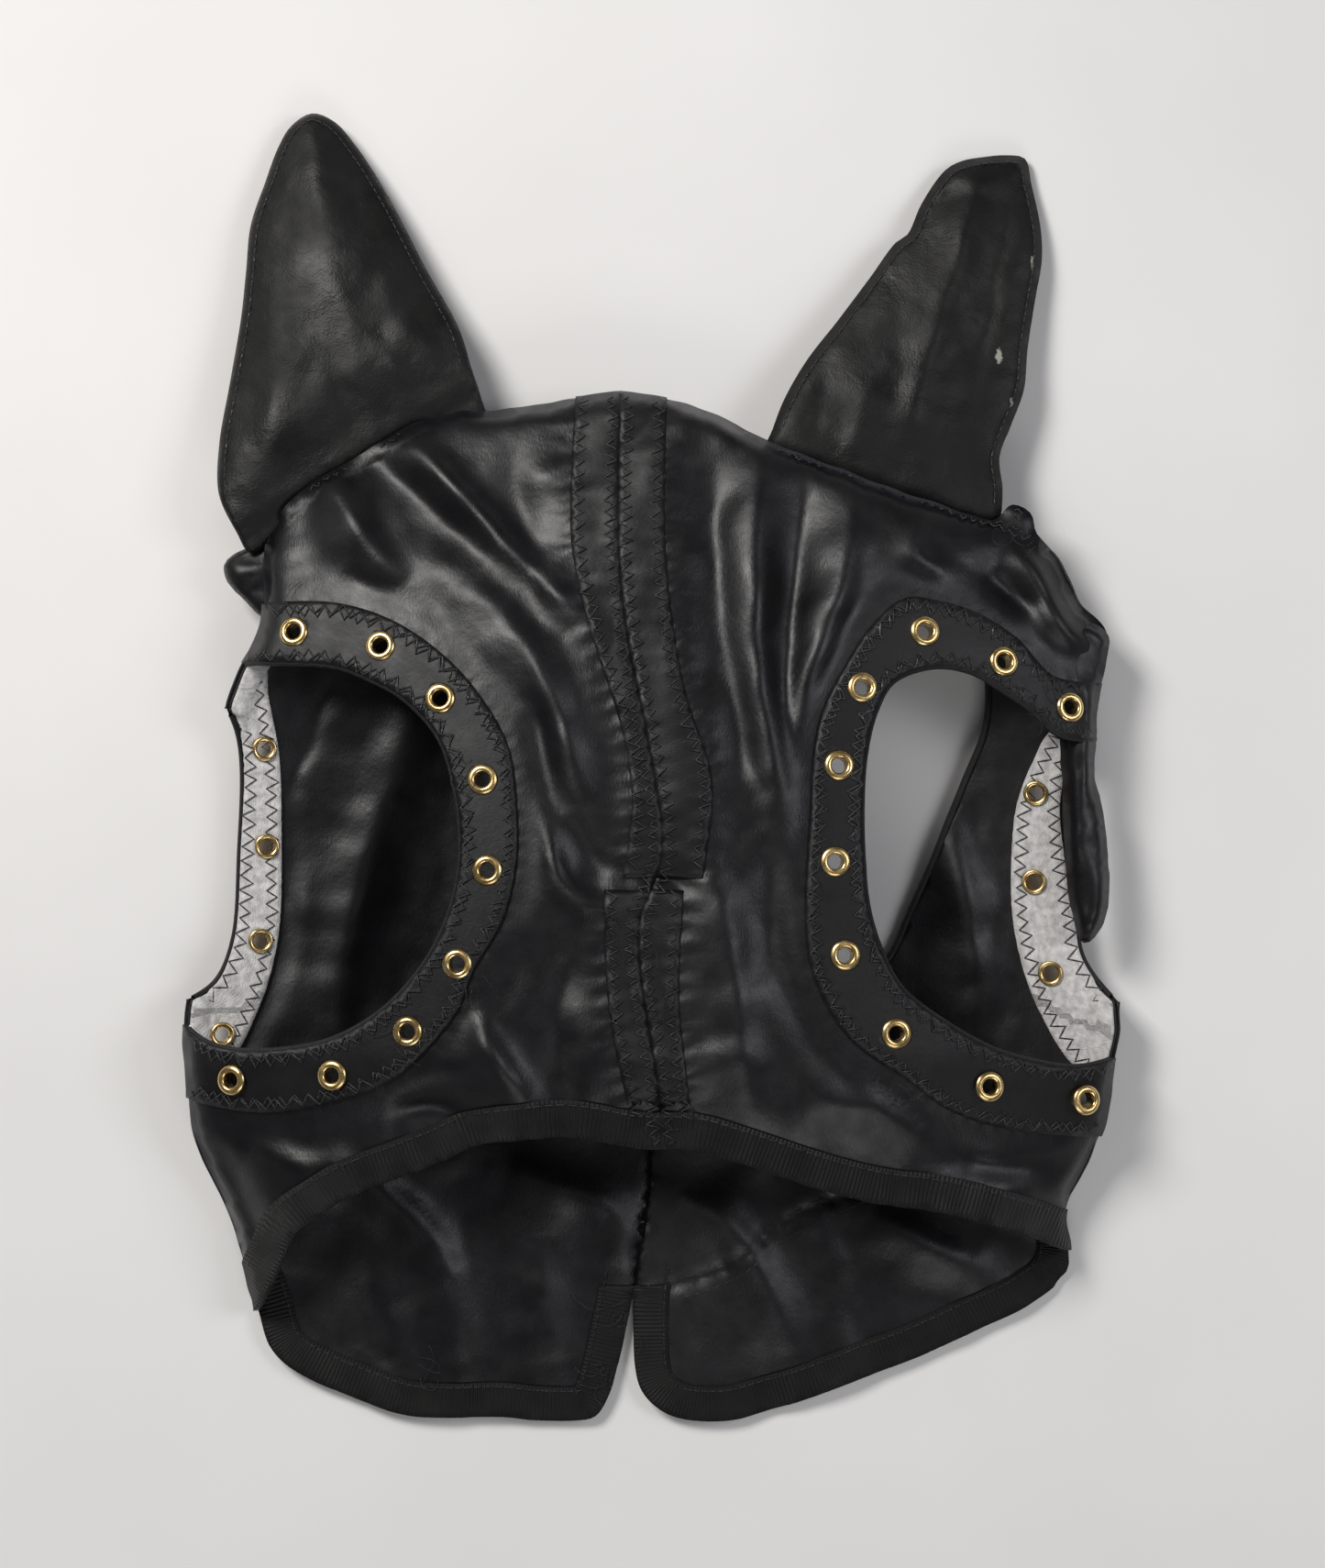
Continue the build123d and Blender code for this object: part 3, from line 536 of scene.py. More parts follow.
def declare(obj, width=None):
    """Work out a piece's cloth area and the plan size it would have flat; a strip of a known width returns at once, and
    nothing is recorded.
    """
    mesh = obj.data
    area = sum(p.area for p in mesh.polygons)
    if width:
        return
    corners = np.array([v.co for v in mesh.vertices])
    size = np.ptp(corners, axis=0)
    whole = size[0] * size[1]
    size *= math.sqrt(max(area / whole, 1.0))


# ---- Materials ----------------------------------------------------------------------------
def new_material(name, color, roughness, **sockets):
    mat = bpy.data.materials.new(name)
    mat.use_nodes = True
    tree = mat.node_tree
    shader = tree.nodes["Principled BSDF"]
    shader.inputs["Base Color"].default_value = (*color, 1)
    shader.inputs["Roughness"].default_value = roughness
    for key, value in sockets.items():
        shader.inputs[key.replace("_", " ")].default_value = value
    return mat, tree, shader


def node(tree, kind, **values):
    made = tree.nodes.new(kind)
    for key, value in values.items():
        if key in made.inputs:
            made.inputs[key].default_value = value
        else:
            setattr(made, key, value)
    return made


def coords(tree, kind="UV"):
    return tree.nodes.new("ShaderNodeTexCoord").outputs[kind]


def vary(tree, shader, scale, low, high, where="UV", detail=4.0, spots=(0.35, 0.65)):
    """Colour that wanders between two tones."""
    n = node(tree, "ShaderNodeTexNoise", Scale=scale, Detail=detail)
    tree.links.new(coords(tree, where), n.inputs["Vector"])
    ramp_node = tree.nodes.new("ShaderNodeValToRGB")
    ramp_node.color_ramp.elements[0].position = spots[0]
    ramp_node.color_ramp.elements[1].position = spots[1]
    ramp_node.color_ramp.elements[0].color = (*low, 1)
    ramp_node.color_ramp.elements[1].color = (*high, 1)
    tree.links.new(n.outputs["Fac"], ramp_node.inputs["Fac"])
    tree.links.new(ramp_node.outputs["Color"], shader.inputs["Base Color"])
    return n


def bump_chain(tree, shader, heights):
    """Bumps one over another: each is (height socket, strength, distance in metres)."""
    last = None
    for socket, strength, distance in heights:
        bump = node(tree, "ShaderNodeBump", Strength=strength, Distance=distance)
        tree.links.new(socket, bump.inputs["Height"])
        if last:
            tree.links.new(last, bump.inputs["Normal"])
        last = bump.outputs["Normal"]
    tree.links.new(last, shader.inputs["Normal"])


def noise_height(tree, scale, where="UV", detail=3.0, stretch=None):
    n = node(tree, "ShaderNodeTexNoise", Scale=scale, Detail=detail)
    source = coords(tree, where)
    if stretch:
        mapping = tree.nodes.new("ShaderNodeMapping")
        mapping.inputs["Scale"].default_value = stretch
        tree.links.new(source, mapping.inputs["Vector"])
        source = mapping.outputs["Vector"]
    tree.links.new(source, n.inputs["Vector"])
    return n.outputs["Fac"]


def wave_height(tree, pitch, axis, where="UV", distortion=0.0):
    """Straight ribs a pitch apart, in metres, across one axis."""
    wave = node(tree, "ShaderNodeTexWave", Scale=math.pi / (10 * pitch), Distortion=distortion)
    wave.bands_direction = axis
    tree.links.new(coords(tree, where), wave.inputs["Vector"])
    return wave.outputs["Fac"]


def rough_from(tree, shader, scale, low, high, where="UV"):
    n = node(tree, "ShaderNodeTexNoise", Scale=scale, Detail=5.0)
    tree.links.new(coords(tree, where), n.inputs["Vector"])
    spread = node(tree, "ShaderNodeMapRange")
    spread.inputs["To Min"].default_value = low
    spread.inputs["To Max"].default_value = high
    spread.inputs["From Min"].default_value = 0.3
    spread.inputs["From Max"].default_value = 0.7
    tree.links.new(n.outputs["Fac"], spread.inputs["Value"])
    tree.links.new(spread.outputs["Result"], shader.inputs["Roughness"])


def satin(name, low, high, rough):
    mat, tree, shader = new_material(name, high, rough[0])
    shader.inputs["Sheen Weight"].default_value = 0.03
    shader.inputs["Sheen Roughness"].default_value = 0.4
    shader.inputs["Sheen Tint"].default_value = (0.78, 0.76, 0.92, 1)
    shader.inputs["Specular IOR Level"].default_value = 0.42
    shader.inputs["Anisotropic"].default_value = 0.35
    vary(tree, shader, 60.0, low, high)
    rough_from(tree, shader, 140.0, *rough)
    bump_chain(tree, shader, [
        (noise_height(tree, 170.0, detail=5.0), 0.30, 0.0006),
        (noise_height(tree, 1500.0, detail=4.0, stretch=(1.0, 0.45, 1.0)), 0.34, 0.0002),
        (noise_height(tree, 4200.0, detail=2.0), 0.30, 0.0001),
    ])
    return mat


SATIN = satin("black_satin", (0.0014, 0.0014, 0.0019), (0.0042, 0.0040, 0.0054), (0.36, 0.48))
BAND_CLOTH = satin("black_band_cloth", (0.0014, 0.0014, 0.0017), (0.0040, 0.0038, 0.0046), (0.44, 0.58))


# Where the coating of the right ear has worn through: place, reach along and across
EAR_NICKS = [((109.6, 129.5), (2.0, 4.6)), ((113.5, 115), (1.1, 2.6)), ((112.5, 101), (0.9, 3.2)), ((120.6, 160), (0.9, 5.0))]


def add_nicks(tree, shader, nicks):
    """Pale marks with ragged edges over the colour a shader already has."""
    ragged = node(tree, "ShaderNodeTexNoise", Scale=700.0, Detail=6.0)
    tree.links.new(coords(tree), ragged.inputs["Vector"])
    color = shader.inputs["Base Color"].links[0].from_socket
    for (x, y), (across, along) in nicks:
        shift = node(tree, "ShaderNodeVectorMath", operation="SUBTRACT")
        shift.inputs[1].default_value = (x * MM, y * MM, 0)
        stretch = node(tree, "ShaderNodeVectorMath", operation="DIVIDE")
        stretch.inputs[1].default_value = (across * MM, along * MM, 1)
        size = node(tree, "ShaderNodeVectorMath", operation="LENGTH")
        tree.links.new(coords(tree), shift.inputs[0])
        tree.links.new(shift.outputs["Vector"], stretch.inputs[0])
        tree.links.new(stretch.outputs["Vector"], size.inputs[0])
        sum_node = node(tree, "ShaderNodeMath", operation="ADD")
        tree.links.new(size.outputs["Value"], sum_node.inputs[0])
        tree.links.new(ragged.outputs["Fac"], sum_node.inputs[1])
        edge = node(tree, "ShaderNodeMapRange")
        edge.inputs["From Min"].default_value = 1.08
        edge.inputs["From Max"].default_value = 0.86
        tree.links.new(sum_node.outputs["Value"], edge.inputs["Value"])
        mix = node(tree, "ShaderNodeMix", data_type="RGBA")
        tree.links.new(edge.outputs["Result"], mix.inputs["Factor"])
        tree.links.new(color, mix.inputs[6])
        mix.inputs[7].default_value = (0.30, 0.30, 0.25, 1)
        color = mix.outputs[2]
    tree.links.new(color, shader.inputs["Base Color"])


def ear_cloth():
    mat, tree, shader = new_material("coated_ear_cloth", (0.01, 0.01, 0.009), 0.5)
    shader.inputs["Specular IOR Level"].default_value = 0.3
    shader.inputs["Sheen Weight"].default_value = 0.01
    shader.inputs["Sheen Roughness"].default_value = 0.6
    worn = vary(tree, shader, 30.0, (0.0020, 0.0020, 0.0020), (0.0105, 0.0108, 0.0085), detail=9.0, spots=(0.5, 0.78))
    worn.inputs["Roughness"].default_value = 0.62
    add_nicks(tree, shader, EAR_NICKS)
    rough_from(tree, shader, 55.0, 0.38, 0.66)
    bump_chain(tree, shader, [
        (noise_height(tree, 210.0, detail=6.0), 0.5, 0.0007),
        (noise_height(tree, 1500.0, detail=3.0), 0.4, 0.0003),
    ])
    return mat


def felt():
    mat, tree, shader = new_material("felt", (0.6, 0.58, 0.56), 0.95)
    shader.inputs["Sheen Weight"].default_value = 0.35
    shader.inputs["Sheen Roughness"].default_value = 0.8
    shader.inputs["Specular IOR Level"].default_value = 0.2
    vary(tree, shader, 420.0, (0.40, 0.385, 0.375), (0.66, 0.645, 0.63), detail=6.0)
    bump_chain(tree, shader, [
        (noise_height(tree, 900.0, detail=6.0, stretch=(1.0, 2.6, 1.0)), 0.8, 0.0006),
        (noise_height(tree, 260.0, detail=3.0), 0.5, 0.0008),
    ])
    return mat


def grosgrain():
    mat, tree, shader = new_material("grosgrain", (0.01, 0.01, 0.01), 0.62)
    shader.inputs["Sheen Weight"].default_value = 0.03
    shader.inputs["Specular IOR Level"].default_value = 0.32
    shader.inputs["Sheen Roughness"].default_value = 0.5
    vary(tree, shader, 90.0, (0.0028, 0.0028, 0.0028), (0.0075, 0.0075, 0.0068))
    bump_chain(tree, shader, [
        (wave_height(tree, 0.0013, "X", "UV", 0.15), 1.0, 0.0005),
        (noise_height(tree, 1800.0, detail=2.0), 0.3, 0.0002),
    ])
    return mat


def brass():
    mat, tree, shader = new_material("eyelet_brass", (0.80, 0.58, 0.26), 0.24, Metallic=1.0)
    vary(tree, shader, 300.0, (0.58, 0.39, 0.15), (0.84, 0.63, 0.30), "Object")
    rough_from(tree, shader, 420.0, 0.18, 0.38, "Object")
    bump_chain(tree, shader, [(noise_height(tree, 1300.0, "Object", 4.0), 0.12, 0.0001)])
    return mat


def thread():
    mat, tree, shader = new_material("black_thread", (0.008, 0.008, 0.009), 0.36)
    shader.inputs["Sheen Weight"].default_value = 0.06
    vary(tree, shader, 800.0, (0.005, 0.005, 0.006), (0.013, 0.013, 0.015), "Object")
    bump_chain(tree, shader, [(wave_height(tree, 0.0005, "X", "Object", 2.0), 0.5, 0.0002)])
    return mat


EAR_CLOTH, FELT, GROSGRAIN, BRASS, THREAD = ear_cloth(), felt(), grosgrain(), brass(), thread()


def dress(obj, mat, body, nodes=()):
    """Give a piece its material and body, and hide the CAD nodes it stands for."""
    obj.data.materials.append(mat)
    if body:
        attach(obj, body)
    if nodes:
        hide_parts(*nodes)
    return obj


# ---- Where the eyelets go through ------------------------------------------------------------
HOLE_R = 3.0
SET_EYELETS = {"front": [], "back": []}
for mount in frame["record"]["mounts"]:
    if "_eyelet_" in mount["name"]:
        which = "front" if mount["axis"][2] > 0 else "back"
        SET_EYELETS[which].append((mount["pos_m"][0] / MM, mount["pos_m"][1] / MM))


def circles(centres):
    turn = np.linspace(0, 2 * math.pi, 18, endpoint=False)
    ring = HOLE_R * np.column_stack([np.cos(turn), np.sin(turn)])
    return [(np.array(c) + ring, True) for c in centres]


def pierced(p, centres):
    far = np.min([np.hypot(p[:, 0] - x, p[:, 1] - y) for x, y in centres], axis=0)
    return far < HOLE_R * 0.99


# ---- The layers ---------------------------------------------------------------------------
front_curves = [(HULL, True), (HEM.p, False), (SEAM.p, False)]
front_curves += [(route.p, False) for route in STRIP_ROUTES]
back_curves = [(HULL, True), (BACK_GAP, True), (smooth(CENTRE_BACK), False)]
back_curves.append((np.array([(-150, BACK_CROWN_Y), (150, BACK_CROWN_Y)], float), False))
back_curves += [(route.p, False) for route in FLAP_ROUTE.values()]


def beside(route, offset):
    """The line a fixed distance to one side of a route, without the loops inside its corners."""
    spots, left = route.at(np.arange(0, route.length, 1.5))
    spots = spots + left * offset
    return spots[route.near(spots)[0] > abs(offset) - 0.05]


front_curves.append((beside(HEM, FRONT_RIBBON_W), False))
back_curves += [(beside(route, FLAP_RIBBON_W), False) for route in FLAP_ROUTE.values()]
for side in HOLES:
    front_curves += [(LOOP[side]["front_free_route"].p, False), (LOOP[side]["front_outer_route"].p, False)]
    back_curves += [(LOOP[side]["rear_free_route"].p, False), (LOOP[side]["rear_outer_route"].p, False)]


def flap_line(side):
    """The hinge line's start, unit direction and unit normal pointing to the flap."""
    a = np.array(SLIT_TOP)
    b = np.array(FLAP_ENDS[side])
    along = (b - a) / np.linalg.norm(b - a)
    normal = np.array([along[1], -along[0]])
    if normal[1] > 0:
        normal = -normal
    return a, along, normal


front_curves += circles(SET_EYELETS["front"])
back_curves += circles(SET_EYELETS["back"])
front = Layer(front_z, front_curves, 1)
back = Layer(back_z, back_curves, -1)
front.keep(~pierced(front.middle, SET_EYELETS["front"]))
back.keep(~pierced(back.middle, SET_EYELETS["back"]))

fm = front.middle
on_front = inside(ABOVE_HEM, fm)
left_half = inside(LEFT_HALF, fm)
front_hole = {s: inside(LOOP[s]["front_free"], fm) for s in HOLES}
front_ring = {s: inside(LOOP[s]["front_outer"], fm) & ~front_hole[s] for s in HOLES}
bm = back.middle
back_hole = {s: inside(LOOP[s]["rear_free"], bm) & (bm[:, 1] < 40) for s in HOLES}
back_ring = {s: inside(LOOP[s]["rear_outer"], bm) & ~back_hole[s] & (bm[:, 1] < 52) for s in HOLES}
is_flap = {}
for s in HOLES:
    a, along, normal = flap_line(s)
    is_flap[s] = inside(FLAP_AREA[s], bm) & (bm[:, 1] < -140)

open_sides = front_hole["left"] | front_hole["right"]
for side, half in (("left", left_half), ("right", ~left_half)):
    panel = make_mesh(f"front_{side}_cloth", [front.cut(on_front & half & ~open_sides)])
    thicken(dress(panel, SATIN, "hood", [f"front_{side}_panel"]), 0.5)
    declare(panel)

in_gap = inside(BACK_GAP, bm) | back_hole["left"] | back_hole["right"]
crown = make_mesh("back_crown_cloth", [back.cut((bm[:, 1] > BACK_CROWN_Y) & ~in_gap, -PANEL_T * 0.6)])
thicken(dress(crown, SATIN, "hood", ["back_crown_panel"]), 0.5)
declare(crown)
def blend_flap(obj, side):
    a, along, normal = flap_line(side)
    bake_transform(obj)


back_left_half = inside(LEFT_BACK_HALF, bm)
for side, half in (("left", back_left_half), ("right", ~back_left_half)):
    upper = half & (bm[:, 1] <= BACK_CROWN_Y) & (bm[:, 1] > -150) & ~in_gap
    lower = is_flap[side] & (bm[:, 1] <= -150)
    cloth = make_mesh(f"back_{side}_cloth", [back.cut(upper | lower, -PANEL_T * 0.6)])
    thicken(dress(cloth, SATIN, None, [f"back_{side}_panel", f"{side}_neck_flap"]), 0.5)
    declare(cloth)
    blend_flap(cloth, side)
    route = FLAP_ROUTE[side]
    near_slit = bm[:, 0] < 40 if side == "right" else bm[:, 0] > -40
    top = np.where(near_slit, -165.0, -150.0)
    trim = is_flap[side] & (route.near(bm)[0] < FLAP_RIBBON_W) & (bm[:, 1] < top)
    ribbon = make_mesh(f"{side}_flap_grosgrain", [back.cut(trim, -PANEL_T * 0.6 - 0.75), back.cut(trim, 0.15)], [route])
    thicken(dress(ribbon, GROSGRAIN, None, [f"{side}_flap_ribbon"]), 0.35)
    declare(ribbon, width=2 * FLAP_RIBBON_W)
    blend_flap(ribbon, side)

# Seam strips
strip_masks = {
    "upper_left": (UPPER_LEFT_STRIP, left_half, (-34, 130)),
    "upper_right": (UPPER_RIGHT_STRIP, ~left_half, (-34, 130)),
    "lower_left": (LOWER_LEFT_STRIP, left_half, (-102.5, -38)),
    "lower_right": (LOWER_RIGHT_STRIP, ~left_half, (-102.5, -38)),
}
for name, (curve, half, (low, high)) in strip_masks.items():
    corner = 230 if "left" in name else -230
    area = closed_by(curve, [(corner, curve[-1][1]), (corner, curve[0][1])])
    chosen = half & inside(area, fm) & (fm[:, 1] > low) & (fm[:, 1] < high) & on_front
    strip = make_mesh(f"{name}_seam_cloth", [front.cut(chosen, 0.55)], [SEAM])
    thicken(dress(strip, BAND_CLOTH, "hood", [f"{name}_seam_strip"]), 0.5)
    declare(strip, width=12.0)

# Front hem ribbon, on both faces of the hem
hem_far, hem_along, _ = HEM.near(fm)
trim = on_front & (hem_far < FRONT_RIBBON_W) & ~open_sides
ribbon = make_mesh("front_hem_grosgrain", [front.cut(trim, 0.75), front.cut(trim, -0.75)], [HEM])
thicken(dress(ribbon, GROSGRAIN, "hood", ["front_hem_ribbon"]), 0.4)
declare(ribbon, width=2 * FRONT_RIBBON_W)

# Bands and felt round the side openings
for side in HOLES:
    routes = [LOOP[side][k] for k in ("front_free_route", "rear_free_route")]
    band = make_mesh(
        f"{side}_band_cloth",
        [front.cut(front_ring[side] & on_front, 1.0), back.cut(back_ring[side], 0.9)],
        routes,
    )
    thicken(dress(band, BAND_CLOTH, "hood", [f"{side}_eyelet_band"]), 0.55)
    declare(band, width=17.0)
    facing = make_mesh(
        f"{side}_felt",
        [front.cut(front_ring[side] & on_front, -1.3), back.cut(back_ring[side], -2.0)],
        routes,
    )
    thicken(dress(facing, FELT, "hood", [f"{side}_felt_facing"]), 1.1)
    declare(facing, width=17.0)


# ---- Eyelets ------------------------------------------------------------------------------
# Across and along the axis from the flange's seat: rolled flange, barrel, rolled back
EYELET_PROFILE = [
    (2.35, -4.1), (2.35, 0.1), (2.42, 0.5), (2.7, 0.85), (3.2, 1.02), (3.8, 0.95), (4.4, 0.62), (4.72, 0.22),
    (4.68, 0.0), (3.05, 0.0), (3.05, -4.0), (3.5, -4.05), (3.9, -4.25), (3.88, -4.6), (3.4, -4.8), (2.7, -4.62),
    (2.35, -4.1),
]
EYELET_TURNS = 40
SEAT_DEPTH = 1.9  # from the mount's point out to the flange's seat


def eyelets(side):
    points, faces = [], []
    for mount in frame["record"]["mounts"]:
        if not mount["name"].startswith(f"{side}_eyelet"):
            continue
        turn = Vector((0, 0, 1)).rotation_difference(Vector(mount["axis"])).to_matrix()
        seat = Vector(mount["pos_m"]) + Vector(mount["axis"]) * SEAT_DEPTH * MM
        start = len(points)
        rows = len(EYELET_PROFILE) - 1
        for k in range(EYELET_TURNS):
            angle = 2 * math.pi * k / EYELET_TURNS
            for r, h in EYELET_PROFILE[:-1]:
                spot = Vector((r * math.cos(angle), r * math.sin(angle), h)) * MM
                points.append(seat + turn @ spot)
        for k in range(EYELET_TURNS):
            for i in range(rows):
                a, b = start + k * rows, start + ((k + 1) % EYELET_TURNS) * rows
                faces.append((a + i, b + i, b + (i + 1) % rows, a + (i + 1) % rows))
    mesh = bpy.data.meshes.new(f"{side}_eyelet_rings")
    mesh.from_pydata(points, [], faces)
    mesh.polygons.foreach_set("use_smooth", [True] * len(mesh.polygons))
    obj = bpy.data.objects.new(f"{side}_eyelet_rings", mesh)
    bpy.context.collection.objects.link(obj)
    return dress(obj, BRASS, "hood", [f"{side}_eyelets"])


for side in HOLES:
    eyelets(side)


# ---- Stitching ----------------------------------------------------------------------------
rng = np.random.default_rng(7)


def thread_line(name, runs, radius, body="hood"):
    """Thread laid along several runs of points, in millimetres."""
    curve = bpy.data.curves.new(name, "CURVE")
    curve.dimensions = "3D"
    curve.bevel_depth = radius * MM
    curve.bevel_resolution = 1
    for run in runs:
        if len(run) < 2:
            continue
        spline = curve.splines.new("POLY")
        spline.points.add(len(run) - 1)
        spline.points.foreach_set("co", np.column_stack([run * MM, np.ones(len(run))]).ravel())
    obj = bpy.data.objects.new(name, curve)
    bpy.context.collection.objects.link(obj)
    if body:
        dress(obj, THREAD, body)
    else:
        obj.data.materials.append(THREAD)
    return obj


def blended_thread(name, runs, radius, bend):
    """Thread on a piece that crosses a hinge: the thread lines made into a mesh and handed to bend."""
    lines = thread_line(name + "_lines", runs, radius, body=None)
    solid = bpy.data.objects.new(name, bpy.data.meshes.new_from_object(lines))
    bpy.context.collection.objects.link(solid)
    bpy.data.objects.remove(lines)
    bend(solid)


def split_runs(keep):
    """Index ranges of the stretches where keep holds."""
    marks = np.flatnonzero(np.diff(np.concatenate([[0], keep.astype(int), [0]])))
    return list(zip(marks[::2], marks[1::2]))


def zigzag(route, offset, width, pitch, height, lift, keep):
    """Runs of a zigzag along a route, on one side of it, where keep(points) holds."""
    count = int(route.length / (pitch / 2))
    s = np.arange(count) * pitch / 2 + rng.normal(0, 0.22, count)
    spots, left = route.at(s)
    swing = np.where(np.arange(count) % 2, 0.5, -0.5) * width + rng.normal(0, 0.25, count)
    flat = spots + left * (offset + swing)[:, None]
    # points between the turns, so that the thread follows the cloth
    fine = np.empty((2 * count - 1, 2))
    fine[::2] = flat
    fine[1::2] = (flat[1:] + flat[:-1]) / 2
    z = height(fine) + lift
    run = np.column_stack([fine, z])
    return [run[a:b] for a, b in split_runs(keep(fine))]


def straight(route, offset, pitch, height, lift, keep):
    """Separate short stitches along a route."""
    runs = []
    for s in np.arange(0, route.length - pitch, pitch):
        spots, left = route.at(np.array([s, s + pitch * 0.36, s + pitch * 0.72]))
        flat = spots + left * offset
        if keep(flat).all():
            z = height(flat) + np.array([lift - 0.2, lift, lift - 0.2])
            runs.append(np.column_stack([flat, z]))
    return runs


STITCH_PITCH = 4.6
for side in HOLES:
    loop = LOOP[side]
    turn = 1 if side == "left" else -1
    front_runs, back_runs = [], []

    def on_band(q, loop=loop):
        clear = EDGE.near(q)[0] > 1.0
        return inside(loop["front_outer"], q) & ~inside(loop["front_free"], q) & inside(HULL, q) & clear

    def on_felt(q, loop=loop):
        clear = EDGE.near(q)[0] > 1.0
        return inside(loop["rear_outer"], q) & ~inside(loop["rear_free"], q) & inside(HULL, q) & clear

    for name, offset in (("front_free_route", 2.7), ("front_outer_route", -2.7)):
        front_runs += zigzag(loop[name], offset * turn, 3.8, STITCH_PITCH, front_z, 1.55, on_band)
        front_runs += zigzag(loop[name], offset * 0.8 * turn, 3.0, STITCH_PITCH * 1.3, front_z, 1.65, on_band)
    for name, offset in (("rear_free_route", -2.6), ("rear_outer_route", 2.6)):
        back_runs += zigzag(loop[name], -offset * turn, 3.6, STITCH_PITCH, back_z, 2.75, on_felt)
    thread_line(f"{side}_band_stitching", front_runs, 0.32)
    thread_line(f"{side}_felt_stitching", back_runs, 0.26)

seam_runs = []


def on_upper(q):
    return inside(ABOVE_HEM, q) & inside(HULL, q) & (EDGE.near(q)[0] > 1.5) & (HEM.near(q)[0] > 1.0)


for offset in (-2.4, 2.4):
    seam_runs += zigzag(SEAM, offset, 3.2, 3.6, front_z, 1.1, on_upper)
for k, route in enumerate(STRIP_ROUTES):
    inward = 2.4 if k in (0, 2) else -2.4
    seam_runs += zigzag(route, inward, 3.4, 4.0, front_z, 1.1, on_upper)
thread_line("centre_seam_stitching", seam_runs, 0.3)

hem_runs = straight(HEM, FRONT_RIBBON_W - 1.6, 3.0, front_z, 1.2, on_upper)
thread_line("front_hem_stitching", hem_runs, 0.22)


def on_back(q):
    return inside(HULL, q) & ~inside(BACK_GAP, q)


INSIDE_LIFT = PANEL_T * 0.6 + 0.3
seam_stitches = {
    "left": [r for offset in (1.3, -1.3) for r in straight(BACK_SEAMS[0], offset, 3.2, back_z, INSIDE_LIFT, on_back)],
    "right": [r for offset in (1.4, -4.6) for r in straight(BACK_SEAMS[1], offset, 3.4, back_z, INSIDE_LIFT, on_back)],
}

for side in HOLES:
    a, along, normal = flap_line(side)

    def on_flap(q, side=side, a=a, normal=normal):
        return inside(FLAP_AREA[side], q) & ((q - a) @ normal > -FLAP_REACH + 2)

    runs = straight(FLAP_ROUTE[side], FLAP_RIBBON_W - 1.4, 3.0, back_z, INSIDE_LIFT + 0.9, on_flap)
    runs += seam_stitches[side]
    blended_thread(f"{side}_flap_thread", runs, 0.2, lambda obj, side=side: blend_flap(obj, side))


# ---- Ears ---------------------------------------------------------------------------------
EAR_SEAM_Z = 18.0
EAR_DROOP = 0.135
EAR_EDGE = 1.3
EAR_STITCH_IN = 2.6  # from the edge of the ear to its line of stitches


def outline_turn(points):
    """1 where an outline runs anticlockwise, so that its left is its inside, and -1 where it runs clockwise."""
    x, y = points[:, 0], points[:, 1]
    return 1 if np.sum(x * np.roll(y, -1) - np.roll(x, -1) * y) > 0 else -1


def make_ear(side, ear):
    (x0, y0), (x1, y1) = ear["seam"]
    length = math.hypot(x1 - x0, y1 - y0)
    out = np.array([(y1 - y0) / length, -(x1 - x0) / length])
    base = np.array([x0, y0])
    area = smooth(ear["outline"], closed=True)
    border = Route(area, closed=True, raw=True)
    widest = 24.0

    def middle(p):
        return EAR_SEAM_Z - EAR_DROOP * np.maximum((p - base) @ out, -2)

    def root_lift(p):
        away = (p - base) @ out
        return 2.7 * (1 - ramp(away, 3, 30)) * ramp(away, -6, 0)

    def puff(p):
        far = border.near(p)[0]
        t = np.clip(far / widest, 0, 1)
        rise = (1 - (1 - t) ** 2.2) * ear["loft"]
        root = ramp((p - base) @ out, -4.0, 26.0)
        lip = np.sqrt(np.clip(1 - (1 - np.clip(far / 2.4, 0, 1)) ** 2, 0, 1)) * EAR_EDGE
        return lip + rise * root

    def front_face(p):
        quiet = ramp(border.near(p)[0], 0.5, 8.0)
        marks = fold_height(p, ear["folds"]) + wrinkles(p, 13.0, 0.8, 21.0)
        return middle(p) + root_lift(p) + puff(p) + quiet * marks + pucker(p, [border], 7.0, 4.0, 0.3) * ramp(border.near(p)[0], 0, 2)

    def back_face(p):
        quiet = ramp(border.near(p)[0], 0.5, 8.0)
        floor = 0.5
        return np.maximum(middle(p) - puff(p) + quiet * wrinkles(p, 15.0, 0.8, 31.0), floor)

    def bend(obj):
        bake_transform(obj)

    for face, height, up in (("front", front_face, 1), ("back", back_face, -1)):
        layer = Layer(height, [(area, True)], up, area=area, rings=(0.4, 1.0, 1.9))
        every = np.ones(len(layer.tris), bool)
        cover = make_mesh(f"{side}_ear_{face}_cloth", [layer.cut(every)])
        dress(cover, EAR_CLOTH, None, [f"{side}_ear_{face}"])
        thicken(cover, 0.4)
        declare(cover)
        bend(cover)

    def on_ear(q):
        return ((q - base) @ out > 2.0) & inside(area, q)

    runs = straight(border, EAR_STITCH_IN * outline_turn(area), 2.6, front_face, 0.45, on_ear)
    blended_thread(f"{side}_ear_stitching", runs, 0.2, bend)


for side, ear in EARS.items():
    make_ear(side, ear)
    for name in (f"{side}_ear_stiffener",):
        held = frame["nodes"][name]
        held.data.materials.clear()
        held.data.materials.append(FELT)

